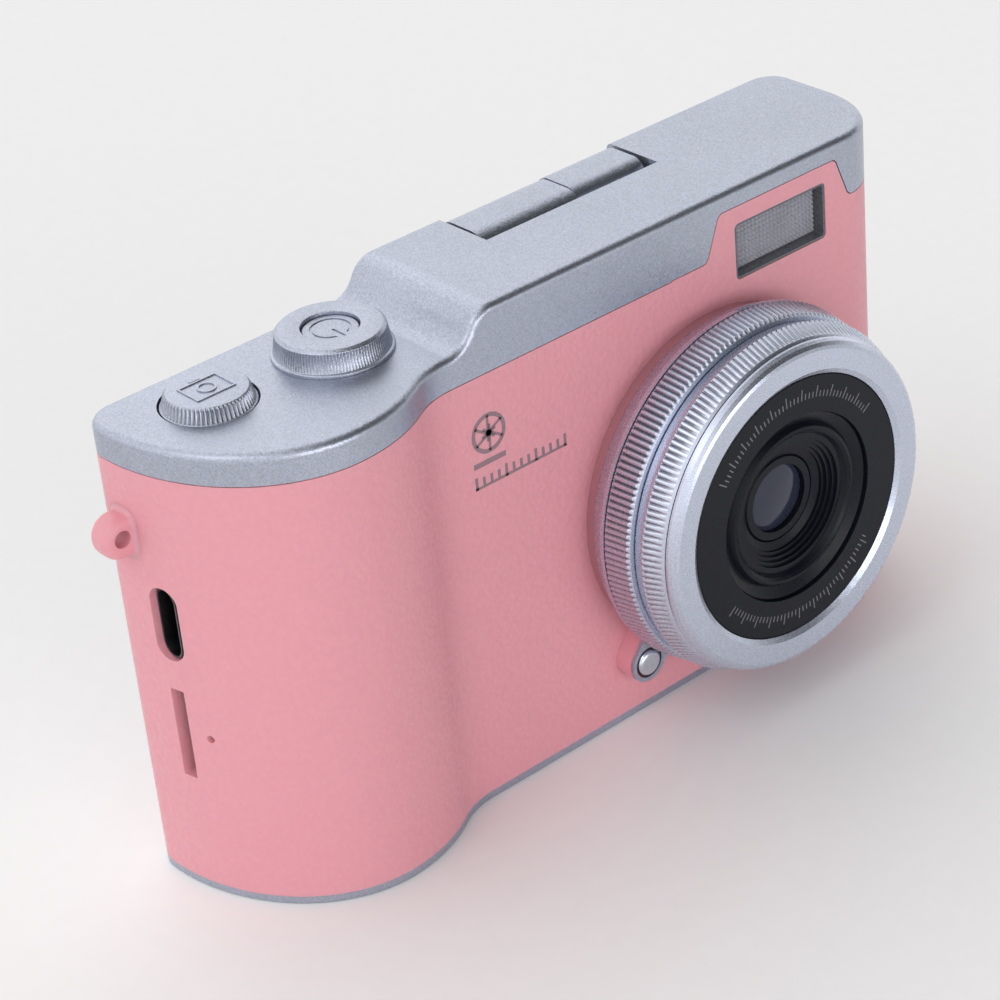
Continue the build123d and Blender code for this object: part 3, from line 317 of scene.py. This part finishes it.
# %% Node helpers
class Finish:
    """A material with short ways to add and join nodes."""

    def __init__(self, name, metallic=0.0, roughness=0.4, coat=0.0, coat_roughness=0.1, specular=0.5):
        self.material = bpy.data.materials.new(name)
        self.material.use_nodes = True
        self.nodes = self.material.node_tree.nodes
        self.shader = self.nodes["Principled BSDF"]
        self.set(self.shader, Metallic=metallic, Roughness=roughness)
        self.set(self.shader, **{"Coat Weight": coat, "Coat Roughness": coat_roughness})
        self.set(self.shader, **{"Specular IOR Level": specular})
        self.place = self.nodes.new("ShaderNodeTexCoord").outputs["Object"]

    def set(self, node, **inputs):
        """Give a node's inputs a number, a colour or another node's output."""
        for name, value in inputs.items():
            socket = node.inputs[int(name[1:])] if name[0] == "_" else node.inputs[name]
            if isinstance(value, bpy.types.NodeSocket):
                self.material.node_tree.links.new(value, socket)
            else:
                socket.default_value = value
        return node

    def noise(self, scale, detail=2.0):
        """Cloudy noise from 0 to 1."""
        node = self.set(self.nodes.new("ShaderNodeTexNoise"), Scale=scale, Detail=detail, Vector=self.place)
        return node.outputs["Fac"]

    def cells(self, scale, feature="F1", output="Distance"):
        """Distance to the nearest of scattered points, or that point's own random colour."""
        node = self.nodes.new("ShaderNodeTexVoronoi")
        node.feature = feature
        return self.set(node, Vector=self.place, Scale=scale).outputs[output]

    def between(self, value, low, high, low_out=0.0, high_out=1.0):
        """Stretch the part of a value from low to high over low_out to high_out, and stop it there."""
        node = self.set(self.nodes.new("ShaderNodeMapRange"), _0=value, _1=low, _2=high, _3=low_out)
        return self.set(node, _4=high_out).outputs[0]

    def sum(self, first, second, operation="ADD"):
        """Two values added, or joined by another operation."""
        node = self.nodes.new("ShaderNodeMath")
        node.operation = operation
        return self.set(node, _0=first, _1=second).outputs[0]

    def colour(self, amount, dark, light):
        """Colour the surface from dark to light by an amount from 0 to 1."""
        node = self.nodes.new("ShaderNodeMix")
        node.data_type = "RGBA"
        self.set(node, _0=amount, _6=(*dark, 1), _7=(*light, 1))
        self.set(self.shader, **{"Base Color": node.outputs[2]})
        return node.outputs[2]

    def relief(self, height, depth_mm, strength=1.0):
        """Bend the light as a relief of this depth would."""
        node = self.set(self.nodes.new("ShaderNodeBump"), Height=height, Strength=strength)
        self.set(node, Distance=depth_mm * MM)
        self.set(self.shader, Normal=node.outputs["Normal"])

    def paint_shade_in_grooves(self, colour, dark):
        """Painted shade: mix the surface's colour towards a dark one where the piece's groove attribute is
        high.
        """
        groove = self.nodes.new("ShaderNodeAttribute")
        groove.attribute_name = "groove"
        node = self.nodes.new("ShaderNodeMix")
        node.data_type = "RGBA"
        self.set(node, _0=groove.outputs["Fac"], _6=colour, _7=(*dark, 1))
        self.set(self.shader, **{"Base Color": node.outputs[2]})

    def tilted_flakes(self, flake, tilt):
        """Lean the surface a little, a different way in each flake: normal + tilt * (random colour - 0.5)."""
        centred = self.nodes.new("ShaderNodeVectorMath")
        centred.operation = "SUBTRACT"
        self.set(centred, _0=flake, _1=(0.5, 0.5, 0.5))
        lean = self.nodes.new("ShaderNodeVectorMath")
        lean.operation = "MULTIPLY_ADD"
        lean.inputs[1].default_value = (tilt, tilt, tilt)
        self.set(lean, _0=centred.outputs[0])
        self.set(lean, _2=self.nodes.new("ShaderNodeNewGeometry").outputs["Normal"])
        unit = self.nodes.new("ShaderNodeVectorMath")
        unit.operation = "NORMALIZE"
        self.set(unit, _0=lean.outputs[0])
        self.set(self.shader, Normal=unit.outputs[0])


def shaded(colour, factor):
    """A colour made lighter or darker."""
    return tuple(c * factor for c in colour)


PINK = (0.74, 0.322, 0.372)
SILVER = (0.42, 0.45, 0.535)
# colour of the painted shade in the grooves of knurls
GROOVE_PAINTED_SHADE = (0.20, 0.21, 0.25)
print("a finish has helpers for noise, cells, colour, relief, grooves and flakes")

# %% [markdown]
# ### Grained pink plastic
#
# The cover is moulded in a tool with a fine leather grain. The grain is shallow cells almost a millimetre
# across with soft valleys, and it shows best where the light grazes it. A relief made of smooth cells and a
# finer noise gives this, with a slightly different tone and gloss on the tops of the cells, where hands
# polish them. The plastic lets a little light in, so its holes and edges glow in a deeper red.


# %% Pink
def translucent(finish, scale_mm=1.6):
    """Let light in a little way, so that edges glow and holes turn a deeper red, as in thin plastic."""
    finish.set(finish.shader, **{"Subsurface Weight": 0.22, "Subsurface Scale": scale_mm * MM})
    finish.set(finish.shader, **{"Subsurface Radius": (1.0, 0.30, 0.22)})


def grained_pink():
    """Pink moulded plastic: smooth cells of about 0.8 mm and a finer noise, a tenth of a millimetre deep."""
    finish = Finish("pink_grain", specular=0.45)
    cells = finish.cells(1300, "SMOOTH_F1")
    fine = finish.noise(2600, 3)
    drift = finish.noise(60, 2)
    grain = finish.sum(cells, finish.sum(fine, 0.45, "MULTIPLY"))
    tone = finish.sum(finish.between(grain, 0.35, 0.85), finish.sum(drift, 0.5, "MULTIPLY"))
    finish.colour(finish.sum(tone, 0.67, "MULTIPLY"), shaded(PINK, 1.015), shaded(PINK, 0.975))
    finish.set(finish.shader, Roughness=finish.between(grain, 0.4, 1.0, 0.36, 0.50))
    finish.relief(grain, 0.12, 0.7)
    translucent(finish)
    return finish.material


def smooth_pink(name="pink_smooth", colour=PINK):
    """The same plastic from a polished part of the tool: only a very fine orange peel."""
    finish = Finish(name, specular=0.5)
    drift = finish.noise(80, 2)
    peel = finish.noise(900, 2)
    finish.colour(finish.between(drift, 0.3, 0.7), shaded(colour, 0.96), shaded(colour, 1.01))
    finish.set(finish.shader, Roughness=finish.between(peel, 0.3, 0.7, 0.30, 0.38))
    finish.relief(peel, 0.01, 0.4)
    translucent(finish)
    return finish.material


print("pink: grained for the cover, smooth for the small parts")

# %% [markdown]
# ### Silver paint
#
# The top is plastic with a silver paint full of tiny flakes, and the lens rings have a finer coat of it. A
# flake is a random cell about an eighth of a millimetre across. Each has its own brightness, gloss and lean,
# so the surface sparkles close up and turns to an even satin from afar. The paint also darkens where a
# piece's groove attribute says so: painted shade in the grooves of a knurl.


# %% Silver
def silver_paint(name="silver_paint", colour=SILVER, gloss=0.33, grit=1.0):
    """Metallic paint: flakes of 0.13 mm, each with its own brightness, gloss and lean."""
    finish = Finish(name, metallic=0.9, coat=0.15, coat_roughness=0.3)
    flake = finish.cells(7500, "F1", "Color")
    drift = finish.noise(70, 2)
    shade = finish.sum(finish.sum(flake, 0.75, "MULTIPLY"), finish.sum(drift, 0.25, "MULTIPLY"))
    painted = finish.colour(shade, shaded(colour, 1 - 0.30 * grit), shaded(colour, 1 + 0.30 * grit))
    # painted shade: the paint darkens in the grooves of a knurl
    finish.paint_shade_in_grooves(painted, GROOVE_PAINTED_SHADE)
    finish.set(finish.shader, Roughness=finish.between(flake, 0, 1, gloss - 0.03, gloss + 0.06))
    finish.tilted_flakes(flake, 0.15 * grit)
    return finish.material


print("silver paint with flakes")

# %% [markdown]
# ### Polished metal
#
# Screws, the small domed button, the reflector and the socket's contacts are bare metal. It mirrors the room
# softly, and fine uneven scratches keep the reflection from looking like chrome paint. The same noise drives
# the tint, the gloss and a very shallow relief, because a scratch changes all three at once.


# %% Metal
def bright_metal(name, colour, gloss=0.2, scratches=400):
    """Polished metal with fine uneven scratches."""
    finish = Finish(name, metallic=1.0)
    mark = finish.noise(scratches * 4, 4)
    finish.colour(finish.between(mark, 0.35, 0.65), shaded(colour, 0.93), shaded(colour, 1.03))
    finish.set(finish.shader, Roughness=finish.between(mark, 0.3, 0.7, gloss - 0.04, gloss + 0.06))
    finish.relief(mark, 0.003, 0.4)
    return finish.material


print("polished metal with scratches")

# %% [markdown]
# ### Black parts, glass and the inside
#
# The lens front is black plastic with a satin tooth. The glass is coated, so it shows a dim blue-grey sheen
# of the room instead of a clear view. The screen is a sheet of black glass. Circuit boards, battery and
# foam are inside, and they get an honest finish of their own, because the screen opens and the covers are
# separate pieces.


# %% Plastic, glass, boards
def moulded(name, colour, gloss=0.4, grain_scale=2200, depth_mm=0.012, coat=0.0, specular=0.5):
    """Plain moulded plastic or rubber with a fine tooth."""
    finish = Finish(name, coat=coat, coat_roughness=0.25, specular=specular)
    tooth = finish.noise(grain_scale, 3)
    finish.colour(finish.between(tooth, 0.3, 0.7), shaded(colour, 0.88), shaded(colour, 1.1))
    finish.set(finish.shader, Roughness=finish.between(tooth, 0.3, 0.7, gloss - 0.05, gloss + 0.07))
    finish.relief(tooth, depth_mm, 0.5)
    return finish.material


def glass(name, colour, clear, gloss=0.06, coat=0.6, specular=0.5):
    """Glass with a coating: part of the light passes, the rest comes back dim and tinted."""
    finish = Finish(name, coat=coat, coat_roughness=0.05, specular=specular)
    smear = finish.noise(240, 3)
    finish.colour(finish.between(smear, 0.3, 0.7), shaded(colour, 0.92), shaded(colour, 1.08))
    finish.set(finish.shader, Roughness=finish.between(smear, 0.35, 0.7, gloss, gloss + 0.05))
    finish.set(finish.shader, **{"Transmission Weight": clear, "IOR": 1.52})
    finish.relief(smear, 0.001, 0.2)
    return finish.material


def circuit_board():
    """Green solder mask with paler copper runs: thin lines along the edges of cells about a millimetre
    across.
    """
    finish = Finish("board", coat=0.4)
    runs = finish.between(finish.cells(900, "DISTANCE_TO_EDGE"), 0.05, 0.09)
    finish.colour(runs, (0.02, 0.13, 0.05), (0.01, 0.07, 0.03))
    finish.set(finish.shader, Roughness=finish.between(finish.noise(2500, 2), 0.3, 0.7, 0.3, 0.42))
    finish.relief(runs, 0.03, 0.6)
    return finish.material


def display():
    """A switched-off display: dark random cells of about 0.07 mm."""
    finish = Finish("lcd", coat=0.3)
    cells = finish.cells(14000, "F1", "Color")
    finish.colour(cells, (0.006, 0.007, 0.012), (0.012, 0.013, 0.02))
    finish.set(finish.shader, Roughness=finish.between(cells, 0, 1, 0.25, 0.4))
    finish.relief(cells, 0.002, 0.3)
    return finish.material


print("plain plastic, glass, board and display are ready")

# %% [markdown]
# ### A finish for every slot
#
# Each solid names a material slot, and the table gives every slot its finish. Four solids differ from their
# slot: the collar is a darker copy of the smooth pink, as painted shade beside the rings, the power button is
# painted like the top, the socket's shell is dark, and the frame of the flash is smoked plastic.

# %% Finishes on the solids
FINISHES = {
    "pink_grain": grained_pink(),
    "pink_smooth": smooth_pink(),
    "silver_paint": silver_paint(),
    "ring_metal": silver_paint("ring_metal", shaded(SILVER, 1.36), 0.27, 0.35),
    "button_chrome": bright_metal("button_chrome", (0.66, 0.69, 0.76), 0.20),
    "black_satin": moulded("black_satin", (0.006, 0.007, 0.012), 0.31, 2600, 0.006, specular=0.2),
    "coated_glass": glass("coated_glass", (0.030, 0.034, 0.060), 0.05, coat=0.2, specular=0.3),
    "flash_clear": glass("flash_clear", (0.46, 0.46, 0.53), 0.35, 0.08, coat=0.3),
    "reflector": bright_metal("reflector", (0.80, 0.80, 0.82), 0.16),
    "screen_dark": glass("screen_dark", (0.008, 0.008, 0.010), 0.0, 0.05, coat=1.0),
    "lcd": display(),
    "board": circuit_board(),
    "steel": bright_metal("steel", (0.56, 0.57, 0.60), 0.3),
    "insert_brass": bright_metal("insert_brass", (0.72, 0.52, 0.25), 0.3),
    "battery_wrap": moulded("battery_wrap", (0.05, 0.11, 0.22), 0.35, 1500, 0.01, coat=0.3),
    "silicone": moulded("silicone", (0.06, 0.06, 0.065), 0.55, 3000, 0.01),
    "key_silver": silver_paint("key_silver", shaded(SILVER, 0.95), 0.32, 0.8),
    # painted shade: the collar is a darker copy of the smooth pink, for the shade beside the rings
    "pink_collar_painted_shade": smooth_pink("pink_collar_painted_shade", shaded(PINK, 0.56)),
    "dark_shell": bright_metal("dark_shell", (0.10, 0.10, 0.11), 0.35),
    "smoked": moulded("smoked", (0.10, 0.10, 0.115), 0.3, 2600, 0.006, coat=0.3),
}
SPECIAL = {
    "lens_collar": "pink_collar_painted_shade", "power_button": "silver_paint", "usb_shell": "dark_shell",
    "flash_frame": "smoked",
}
for node, piece in frame["nodes"].items():
    piece.data.materials[0] = FINISHES[SPECIAL.get(node, SLOT_OF[node])]
print(len(FINISHES), "finishes on", len(frame["nodes"]), "solids")

# %% [markdown]
# ## Knurled lens rings
#
# Both control rings are satin silver with straight teeth rolled into the outside. A texture would give
# flat teeth and a smooth outline, so the teeth are cut into the surface itself: the ring's profile is turned
# round the lens axis and a rounded wave is taken off its radius. The rear ring is toothed over its whole
# width, and the front one has a smooth band behind its teeth.

# %% Rings
LENS_AXIS = (LENS_X, 0, LENS_Z)
RING_TEETH = 174
RING_TOOTH_DEPTH = 0.30
POINTS_PER_TOOTH = 10
RING_RUN_OUT, RING_SHARPNESS = 0.12, 4.5


def lens_ring(name, profile, radii, knurl_from, knurl_to, body, node):
    """A ring from its (radius, distance in front of the frame's middle) profile, with a knurled band."""
    outline = rounded(profile, radii)
    count = RING_TEETH * POINTS_PER_TOOTH
    cut = knurl(RING_TEETH, RING_TOOTH_DEPTH, knurl_from, knurl_to, RING_RUN_OUT, RING_SHARPNESS)
    shape = shape_of(turned(outline, LENS_AXIS, AHEAD, count, cut), True, True)
    add_piece(
        name, shape, FINISHES["ring_metal"], body, [node], 60,
        groove_depth(cut, outline, count, RING_TOOTH_DEPTH),
    )


lens_ring(
    "knurled_rear_ring",
    [(20.05, 15.95), (23.6, 15.95), (23.95, 16.25), (23.67, 17.9), (23.4, 19.45), (23.1, 19.9),
     (20.05, 19.9)],
    [0, 0.1, 0.12, 0, 0.12, 0.1, 0],
    16.2, 19.7, BODY_OF["rear_ring"], "rear_ring",
)
lens_ring(
    "knurled_front_ring",
    [(20.05, 20.02), (22.45, 20.02), (22.75, 21.7), (23.2, 21.95), (22.68, 23.2), (22.15, 24.4),
     (21.9, 24.7), (20.05, 24.7)],
    [0, 0.12, 0.08, 0.12, 0, 0.1, 0.1, 0],
    22.0, 24.25, BODY_OF["front_ring"], "front_ring",
)

# %% [markdown]
# ## Power dial and shutter button
#
# Both controls on the top are low turned knobs. The power dial has a flat top, a finely toothed side and a
# smooth bright foot. The shutter button is a cone with coarser teeth and a flat top, which carries a raised
# outline of a camera. They are turned in the same way as the rings, round upright axes.

# %% Power dial
DIAL = middle("power_dial")
DIAL_LOW, DIAL_HIGH = box_mm("power_dial")[0][2], box_mm("power_dial")[1][2]
dial_profile = rounded(
    [
        (3.55, DIAL_LOW), (7.35, DIAL_LOW), (7.35, DIAL_LOW + 0.4), (7.0, DIAL_LOW + 0.5),
        (6.62, DIAL_HIGH - 0.35), (6.2, DIAL_HIGH), (3.55, DIAL_HIGH),
    ],
    [0, 0.05, 0.15, 0.05, 0.25, 0.25, 0.08],
)
KNOB_POINTS = 8
DIAL_TEETH, DIAL_TOOTH_DEPTH = 110, 0.17
dial_cut = knurl(DIAL_TEETH, DIAL_TOOTH_DEPTH, DIAL_LOW + 0.62, DIAL_HIGH - 0.5, 0.1)
dial = shape_of(turned(dial_profile, (*DIAL[:2], 0), UP, DIAL_TEETH * KNOB_POINTS, dial_cut), True, True)
add_piece(
    "knurled_power_dial", dial, FINISHES["silver_paint"], BODY, ["power_dial"], 60,
    groove_depth(dial_cut, dial_profile, DIAL_TEETH * KNOB_POINTS, DIAL_TOOTH_DEPTH),
)

# %% Shutter button
SHUTTER = middle("shutter_button")
CAP_LOW, CAP_HIGH = 61.4, box_mm("shutter_button")[1][2]
CAP_FOOT = box_mm("shutter_button")[0][2]
cap_profile = rounded(
    [
        (0, CAP_HIGH), (4.8, CAP_HIGH), (5.1, CAP_HIGH - 0.35), (5.5, 62.15), (5.7, 62.05), (5.7, CAP_LOW),
        (2.0, CAP_LOW), (2.0, CAP_FOOT), (0, CAP_FOOT),
    ],
    [0, 0.15, 0.1, 0.05, 0.1, 0.1, 0, 0.2, 0],
)
CAP_TEETH, CAP_TOOTH_DEPTH = 60, 0.26
cap_cut = knurl(CAP_TEETH, CAP_TOOTH_DEPTH, 62.2, CAP_HIGH - 0.3, 0.12, 2.0)
cap = shape_of(
    turned(cap_profile, (*SHUTTER[:2], 0), UP, CAP_TEETH * KNOB_POINTS, cap_cut), close_columns=True
)
add_piece(
    "knurled_shutter_button", cap, FINISHES["silver_paint"], BODY_OF["shutter_button"],
    ["shutter_button"], 50,
    groove_depth(cap_cut, cap_profile, CAP_TEETH * KNOB_POINTS, CAP_TOOTH_DEPTH),
)

# %% The raised camera outline
camera_outline = joined([
    stroke(rectangle(5.2, 3.9), 0.22, 0.16, closed=True),
    stroke(arc(1.05, 0, 345, 24), 0.26, 0.16, closed=True),
    plate(rectangle(1.4, 0.35, (0, 2.45)), 0.12),
])
add_piece(
    "shutter_camera_outline",
    placed(camera_outline, (*SHUTTER[:2], CAP_HIGH - 0.02), RIGHT, -AHEAD, UP),
    FINISHES["silver_paint"], BODY_OF["shutter_button"],
)

# %% [markdown]
# ## Flash window
#
# The window over the flash is clear plastic whose face is moulded into rows of small lenses, which spread the
# light. A flat sheet would mirror the room, so the front is a height map of round swells on a square grid,
# and the back is flat.

# %% Flash window
low, high = box_mm("flash_window")
LENS_PITCH, LENS_DEPTH = 0.64, 0.32
PLAIN_EDGE = 0.2
x = np.linspace(low[0], high[0], 321)
z = np.linspace(low[2], high[2], 153)
xx, zz = np.meshgrid(x, z)


def swell(u):
    """Wave from 0 in the valleys to 1 on the crests, with a period of 1: (1 - cos(2 pi u)) / 2."""
    return (1 - np.cos(2 * math.pi * u)) / 2


height = swell((xx - low[0]) / LENS_PITCH) * swell((zz - low[2]) / LENS_PITCH)
edge = np.minimum.reduce([xx - low[0], high[0] - xx, zz - low[2], high[2] - zz])
height = height * np.clip(edge / PLAIN_EDGE, 0, 1)
front = np.stack([xx, low[1] + LENS_DEPTH * (1 - height), zz], axis=2)
back = np.stack([xx, np.full_like(xx, high[1]), zz], axis=2)
rows, columns = xx.shape
grid_index = np.arange(rows * columns).reshape(rows, columns)
rim = np.concatenate(
    [grid_index[0, :-1], grid_index[:-1, -1], grid_index[-1, :0:-1], grid_index[:0:-1, 0]]
)
walls = np.stack([rim, np.roll(rim, -1), np.roll(rim, -1) + rows * columns, rim + rows * columns], axis=1)
window_points, window_faces = joined([shape_of(front), shape_of(back)])
add_piece(
    "prism_flash_window", (window_points, window_faces + walls.tolist()), FINISHES["flash_clear"],
    BODY, ["flash_window"], 60,
)

# %% [markdown]
# ## Marks on the lens and the front
#
# The black ring in the lens carries a fine grey print in two arcs, and the front has a small print beside
# the lens. Here both are plain scales and signs of no maker: ticks of two lengths round the lens, and an
# aperture sign over a short rule and a scale on the front. They are plates a few hundredths of a millimetre
# high, so they catch the light as ink does.


# %% Ticks round the lens
INK = 0.03
SUNK = 0.01
TICK_FOOT, TICK_WIDTH = 14.6, 0.16
TICK_LENGTHS = (1.5, 0.8, 0.8, 0.8)


def tick_arc(start_deg, end_deg, step_deg):
    """Radial ticks from one angle to another; their lengths follow each other in turn."""
    ticks = []
    for k, a in enumerate(np.radians(np.arange(start_deg, end_deg + 0.01, step_deg))):
        spoke = np.array([math.cos(a), math.sin(a)])
        head = TICK_FOOT + TICK_LENGTHS[k % len(TICK_LENGTHS)]
        ticks.append(stroke([TICK_FOOT * spoke, head * spoke], TICK_WIDTH, INK))
    return ticks


grey_ink = moulded("grey_ink", (0.15, 0.15, 0.16), 0.5, 4000, 0.004)
lens_ticks = joined(tick_arc(35, 145, 2.5) + tick_arc(218, 322, 2.5))
name_face_y = box_mm("name_ring")[0][1]
add_piece(
    "lens_scale_ticks", placed(lens_ticks, (LENS_X, name_face_y + SUNK, LENS_Z), RIGHT, UP, AHEAD),
    grey_ink, BODY_OF["name_ring"],
)

# %% Print on the front
SIGN_R, SIGN_AT = 2.35, (2.8, 6.9, 0)
SCALE_STEPS, SCALE_PITCH = 13, 1.17
print_ink = moulded("print_ink", (0.27, 0.17, 0.20), 0.45, 4000, 0.004)
blade_tips = arc(SIGN_R, 90, 450, 7)[:-1]
blade_feet = np.roll(arc(0.48 * SIGN_R, 20, 380, 7)[:-1], 2, 0)
aperture_sign = [stroke(arc(SIGN_R, 0, 354, 60), 0.55, INK, closed=True)]
aperture_sign += [stroke([tip, foot], 0.36, INK) for tip, foot in zip(blade_tips, blade_feet)]
scale_ticks = [
    plate(rectangle(0.42, 1.7 if k % 4 == 0 else 1.1, (0.3 + SCALE_PITCH * k, 0.9)), INK)
    for k in range(SCALE_STEPS)
]
rules = [plate(rectangle(5.0, 0.7, (2.6, 3.2)), INK), plate(rectangle(14.5, 0.36, (7.3, 0.2)), INK)]
front_print = joined([(points + SIGN_AT, faces) for points, faces in aperture_sign] + rules + scale_ticks)
add_piece(
    "front_print", placed(front_print, (-17.6, FRONT_Y + SUNK, 43.6), RIGHT, UP, AHEAD),
    print_ink, BODY,
)

# %% [markdown]
# ## Keys and socket
#
# The keys on the back are caps with a shallow dish, which a finger finds by touch, and all but the OK key
# carry a printed sign.
# A flat disc would look unfinished, so each cap is turned from a profile whose top sinks by a quarter of a
# millimetre. The signs are the usual ones: plus and minus, three lines for a menu, a triangle for playback
# and four arrowheads on the ring. In the socket, gold contacts lie on the black tongue.


# %% Dished key caps
DISH, RIM_R = 0.25, 0.5
KEYS = ("zoom_in_button", "zoom_out_button", "ok_button", "menu_button", "playback_button")


def dished_cap(node):
    """A turned cap in place of a key: a dish of depth DISH * (1 - (r / rim)^2), a round rim, and a wall."""
    low, high = box_mm(node)
    radius, top, foot = (high[0] - low[0]) / 2, high[1], low[1]
    rim = np.linspace(0, radius - RIM_R - 0.05, 9)
    dish = np.column_stack([rim, top - DISH * (1 - (rim / rim[-1]) ** 2)])
    t = np.linspace(0.15, 1, 5) * math.pi / 2
    shoulder = np.column_stack([radius - RIM_R + RIM_R * np.sin(t), top - RIM_R + RIM_R * np.cos(t)])
    profile = np.concatenate([dish, shoulder, [[radius, foot], [0, foot]]])
    place = (middle(node)[0], 0, middle(node)[2])
    cap = shape_of(turned(profile, place, -AHEAD, 96), close_columns=True)
    add_piece(f"dished_{node}", cap, FINISHES["key_silver"], BODY_OF[node], [node], 50)


for key in KEYS:
    dished_cap(key)

# %% Signs on the keys
key_ink = moulded("key_ink", (0.035, 0.035, 0.045), 0.45, 4000, 0.004)


def key_sign(node, marks, sink=0.22):
    """Printed marks in the middle of a key, just proud of its dish. Seen from behind, +u is to the right."""
    place = (middle(node)[0], box_mm(node)[1][1] - sink, middle(node)[2])
    add_piece(
        f"sign_{node}", placed(joined(marks), place, -RIGHT, UP, -AHEAD), key_ink, BODY_OF[node],
    )


bar = plate(rectangle(2.6, 0.42), INK)
post = plate(rectangle(0.42, 2.6), 0.9 * INK)
key_sign("zoom_in_button", [bar, post])
key_sign("zoom_out_button", [bar])
key_sign("menu_button", [plate(rectangle(2.2, 0.3, (0, v)), INK) for v in (-0.8, 0, 0.8)])
key_sign("playback_button", [plate([(-0.75, -1.05), (1.15, 0), (-0.75, 1.05)], INK)])
arrow = np.array([(-0.75, -0.4), (0.75, -0.4), (0, 0.6)]) + (0, 6.9)
arrows = []
for a in np.radians([0, 90, 180, 270]):
    turn = np.array([(math.cos(a), math.sin(a)), (-math.sin(a), math.cos(a))])
    arrows.append(plate(arrow @ turn, INK))
key_sign("navigation_ring", arrows, sink=SUNK)

# %% Contacts on the tongue
CONTACTS = 12
low, high = box_mm("usb_tongue")
gold = bright_metal("contact_gold", (0.78, 0.60, 0.30), 0.25)
contact = plate(rectangle(2.6, 0.28), INK)
contact_z = np.linspace(low[2] + 0.9, high[2] - 0.9, CONTACTS)
contacts = joined([
    placed(contact, (low[0] + 1.7, low[1] - INK / 2, z), RIGHT, UP, AHEAD) for z in contact_z
])
add_piece("tongue_contacts", contacts, gold, BODY)
print(len(KEYS), "dished keys, five signs and", CONTACTS, "contacts")

# %% [markdown]
# ## Stage, lights and camera
#
# A large pale floor carries the camera body. The light is that of a small product studio: a pale room, a
# broad softbox in front, and two weak ones above and behind. A room as bright all round would leave the
# silver edges flat, so one corner of it is dark, and the rounded edges mirror that corner as dark lines. The
# viewpoint is in front of the grip end, above, and rolled a little.


# %% Floor
FLOOR_HALF, FLOOR_Z = 4, -5e-5
corners = [(-1, -1), (1, -1), (1, 1), (-1, 1)]
floor_mesh = bpy.data.meshes.new("floor")
floor_mesh.from_pydata([(FLOOR_HALF * x, FLOOR_HALF * y, FLOOR_Z) for x, y in corners], [], [(0, 1, 2, 3)])
floor = bpy.data.objects.new("floor", floor_mesh)
bpy.context.scene.collection.objects.link(floor)
floor_finish = Finish("floor_paper", specular=0.3)
fibre = floor_finish.noise(300, 3)
floor_finish.colour(fibre, (0.90, 0.90, 0.90), (0.93, 0.93, 0.93))
floor_finish.set(floor_finish.shader, Roughness=floor_finish.between(fibre, 0, 1, 0.6, 0.75))
floor_mesh.materials.append(floor_finish.material)
print("floor of", 2 * FLOOR_HALF, "metres, just under the base")

# %% A pale room with a dark corner
ROOM_STRENGTH = 1.18
CORNER = np.array([0.53, -0.51, 0.68])
CORNER_RANGE = (math.cos(math.radians(55)), 0.93)
CORNER_LIGHT = 0.02

world = bpy.data.worlds.new("studio")
bpy.context.scene.world = world
world.use_nodes = True
room = world.node_tree
background = room.nodes["Background"]
background.inputs["Strength"].default_value = ROOM_STRENGTH
facing = room.nodes.new("ShaderNodeVectorMath")
facing.operation = "DOT_PRODUCT"
facing.inputs[1].default_value = CORNER / np.linalg.norm(CORNER)
room.links.new(room.nodes.new("ShaderNodeTexCoord").outputs["Generated"], facing.inputs[0])
shade = room.nodes.new("ShaderNodeMapRange")
for socket, value in zip(shade.inputs[1:5], (*CORNER_RANGE, 1.0, CORNER_LIGHT)):
    socket.default_value = value
room.links.new(facing.outputs["Value"], shade.inputs[0])
room.links.new(shade.outputs[0], background.inputs["Color"])
bpy.context.scene.view_settings.view_transform = "Standard"
print("room of strength", ROOM_STRENGTH, "with a dark corner towards", CORNER)


# %% Softboxes
CENTRE = np.array([0.0, 0.0, 0.035])


def softbox(name, place, size, watts):
    """An area light of (width, height) metres that looks at the middle of the camera body."""
    light = bpy.data.lights.new(name, "AREA")
    light.shape = "RECTANGLE"
    light.size, light.size_y = size
    light.energy = watts
    lamp = bpy.data.objects.new(name, light)
    lamp.rotation_euler = Vector(CENTRE - place).to_track_quat("-Z", "Y").to_euler()
    lamp.location = place
    bpy.context.scene.collection.objects.link(lamp)
    print(f"{name}: {watts} W")


softbox("softbox_above", (-0.55, -0.10, 0.65), (0.4, 0.4), 0.5)
softbox("softbox_back", (0.12, 0.45, 0.38), (0.30, 0.30), 0.10)
softbox("softbox_front", (0.0, -0.90, 0.08), (0.8, 0.4), 2.4)


# %% Camera
SENSOR_MM = 36.0


def aimed_camera(place, azimuth_deg, elevation_deg, roll, lens_mm):
    """A camera at a place. Azimuth 0 looks along +Y; the roll leans the picture's right side."""
    az, el = math.radians(azimuth_deg), math.radians(elevation_deg)
    forward = np.array([-math.sin(az) * math.cos(el), math.cos(az) * math.cos(el), -math.sin(el)])
    flat_right = np.array([math.cos(az), math.sin(az), 0.0])
    flat_up = np.cross(flat_right, forward)
    right = math.cos(roll) * flat_right + math.sin(roll) * flat_up
    up = np.cross(right, forward)
    data = bpy.data.cameras.new("studio_camera")
    data.lens = lens_mm
    data.sensor_width = SENSOR_MM
    camera = bpy.data.objects.new("studio_camera", data)
    turn = np.stack([right, up, -forward], axis=1)
    camera.matrix_world = Matrix.Translation(Vector(place)) @ Matrix(turn.tolist()).to_4x4()
    bpy.context.scene.collection.objects.link(camera)
    bpy.context.scene.camera = camera
    print("camera at", [round(c, 4) for c in place])


aimed_camera((-0.20419, -0.25191, 0.22285), -38.307, 30.676, -0.09754, 107.76)
